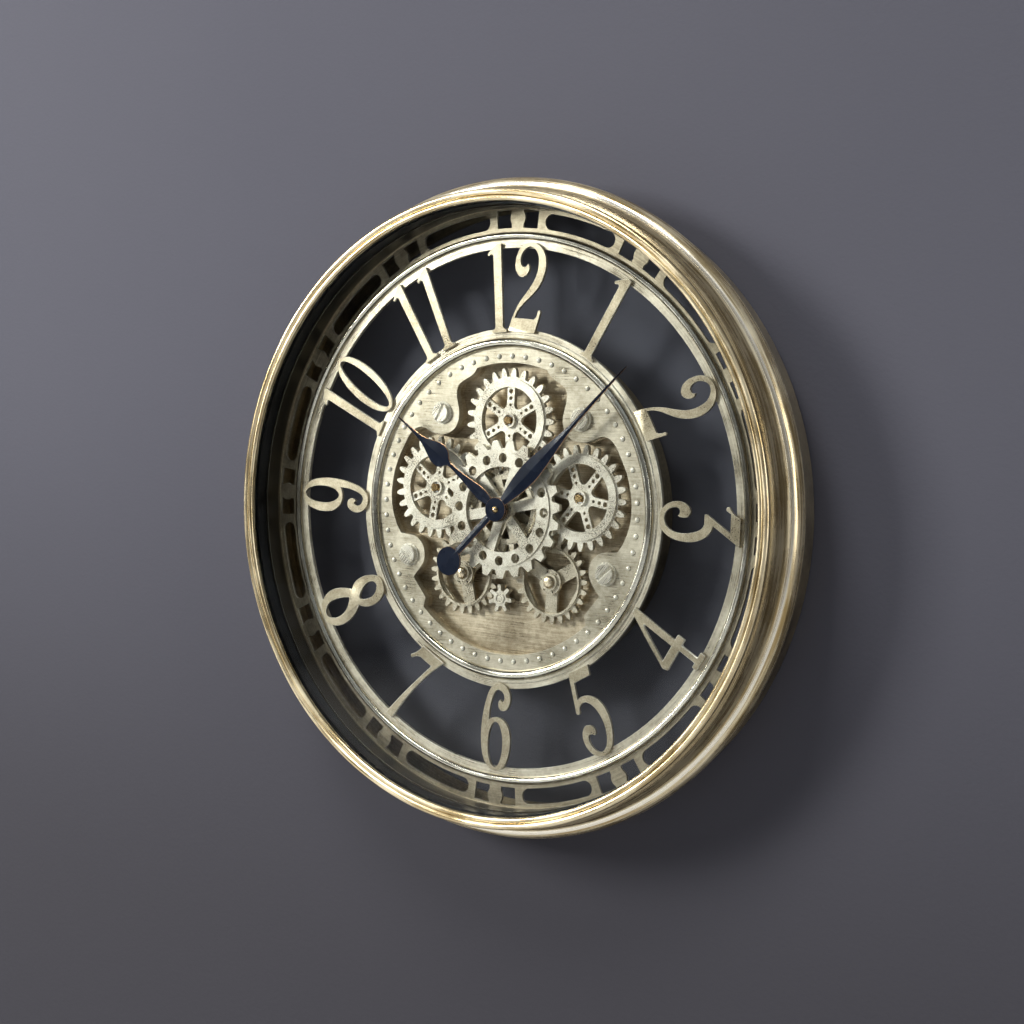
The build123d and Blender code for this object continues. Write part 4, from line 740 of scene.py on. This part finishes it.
def plane(name, centre, half_x, half_y, turn_x, material):
    mesh = bpy.data.meshes.new(name)
    corners = [(-half_x, -half_y, 0), (half_x, -half_y, 0), (half_x, half_y, 0), (-half_x, half_y, 0)]
    mesh.from_pydata(corners, [], [(0, 1, 2, 3)])
    mesh.materials.append(material)
    obj = bpy.data.objects.new(name, mesh)
    obj.location = centre
    obj.rotation_euler = (turn_x, 0, 0)
    scene.collection.objects.link(obj)
    return obj


floor_look = Look("floor_paint")
soft = floor_look.noise(3.0, 3.0)
floor_look.link(
    floor_look.blend(soft, (0.46, 0.46, 0.47, 1.0), (0.52, 0.52, 0.53, 1.0)),
    floor_look.skin.inputs["Base Color"],
)
floor_look.skin.inputs["Roughness"].default_value = 0.7
plane("floor", (0, 0, -0.62), 4.0, 4.0, 0.0, floor_look.mat)

wall_look = Look("wall_paint")
roll = wall_look.noise(260.0, 3.0)
tone = wall_look.noise(2.0, 2.0)
paint = wall_look.blend(tone, (0.066, 0.067, 0.085, 1.0), (0.076, 0.077, 0.095, 1.0))
# painted shade: the backdrop darkens towards the floor
low_painted_shade = wall_look.span(wall_look.axis("Y"), -1.85, -1.25, 0.62, 0.0, smooth=True)
wall_look.link(
    wall_look.blend(low_painted_shade, paint, (0.022, 0.020, 0.022, 1.0)), wall_look.skin.inputs["Base Color"]
)
wall_look.skin.inputs["Roughness"].default_value = 0.85
wall_look.skin.inputs["Specular IOR Level"].default_value = 0.2
wall_look.link(wall_look.bump(roll, 0.4 * MM, 0.5), wall_look.skin.inputs["Normal"])
# from behind the wall is clear, so that the back of the clock shows
side_seen = wall_look.tree.nodes.new("ShaderNodeNewGeometry")
from_behind = wall_look.tree.nodes.new("ShaderNodeBsdfTransparent")
one_way = wall_look.tree.nodes.new("ShaderNodeMixShader")
wall_look.link(side_seen.outputs["Backfacing"], one_way.inputs[0])
wall_look.link(wall_look.skin.outputs[0], one_way.inputs[1])
wall_look.link(from_behind.outputs[0], one_way.inputs[2])
wall_look.link(one_way.outputs[0], wall_look.out.inputs[0])
wall = plane("wall", (0, 0.0006, 1.4), 3.0, 2.02, math.radians(90), wall_look.mat)
# the wall throws no shadow, so that the rear lamp can light the back of the clock
wall.visible_shadow = False


def lamp(name, place, power, colour, size, size_y=None):
    """A soft rectangular lamp aimed at the middle of the clock."""
    data = bpy.data.lights.new(name, "AREA")
    data.shape = "RECTANGLE"
    data.size = size
    data.size_y = size_y or size
    data.energy = power
    data.color = colour
    obj = bpy.data.objects.new(name, data)
    obj.location = place
    obj.rotation_mode = "QUATERNION"
    obj.rotation_quaternion = (-Vector(place)).to_track_quat("-Z", "Y")
    scene.collection.objects.link(obj)


lamp("key", (-2.42, -2.0, 0.88), 120, (1.0, 0.98, 0.95), 0.9, 1.1)
lamp("top", (-0.5, -1.3, 2.2), 50, (1.0, 0.98, 0.95), 0.9)
lamp("fill", (2.3, -1.1, 0.5), 16, (1.0, 0.97, 0.93), 0.7, 1.6)
lamp("rear", (0.5, 2.4, 0.9), 14, (0.97, 0.98, 1.0), 1.2)

world = bpy.data.worlds.new("studio")
scene.world = world
world.use_nodes = True
wt = world.node_tree
wt.nodes.clear()
w_out = wt.nodes.new("ShaderNodeOutputWorld")
w_back = wt.nodes.new("ShaderNodeBackground")
w_coord = wt.nodes.new("ShaderNodeTexCoord")
w_split = wt.nodes.new("ShaderNodeSeparateXYZ")
w_ramp = wt.nodes.new("ShaderNodeValToRGB")
wt.links.new(w_coord.outputs["Generated"], w_split.inputs[0])
wt.links.new(w_split.outputs["Z"], w_ramp.inputs[0])
w_ramp.color_ramp.elements[0].position = 0.0
w_ramp.color_ramp.elements[0].color = (0.10, 0.088, 0.075, 1)
w_ramp.color_ramp.elements[1].position = 0.7
w_ramp.color_ramp.elements[1].color = (0.80, 0.85, 0.95, 1)
wt.links.new(w_ramp.outputs[0], w_back.inputs[0])
w_back.inputs[1].default_value = 0.42
wt.links.new(w_back.outputs[0], w_out.inputs[0])

camera_data = bpy.data.cameras.new("camera")
camera_data.sensor_width = 36.0
camera_data.lens = 69.12
camera = bpy.data.objects.new("camera", camera_data)
camera.location = (0.91935, -1.36040, 0.09879)
camera.rotation_euler = (math.radians(86.4175), math.radians(-2.2798), math.radians(34.7002))
scene.collection.objects.link(camera)
scene.camera = camera
scene.view_settings.view_transform = "Standard"
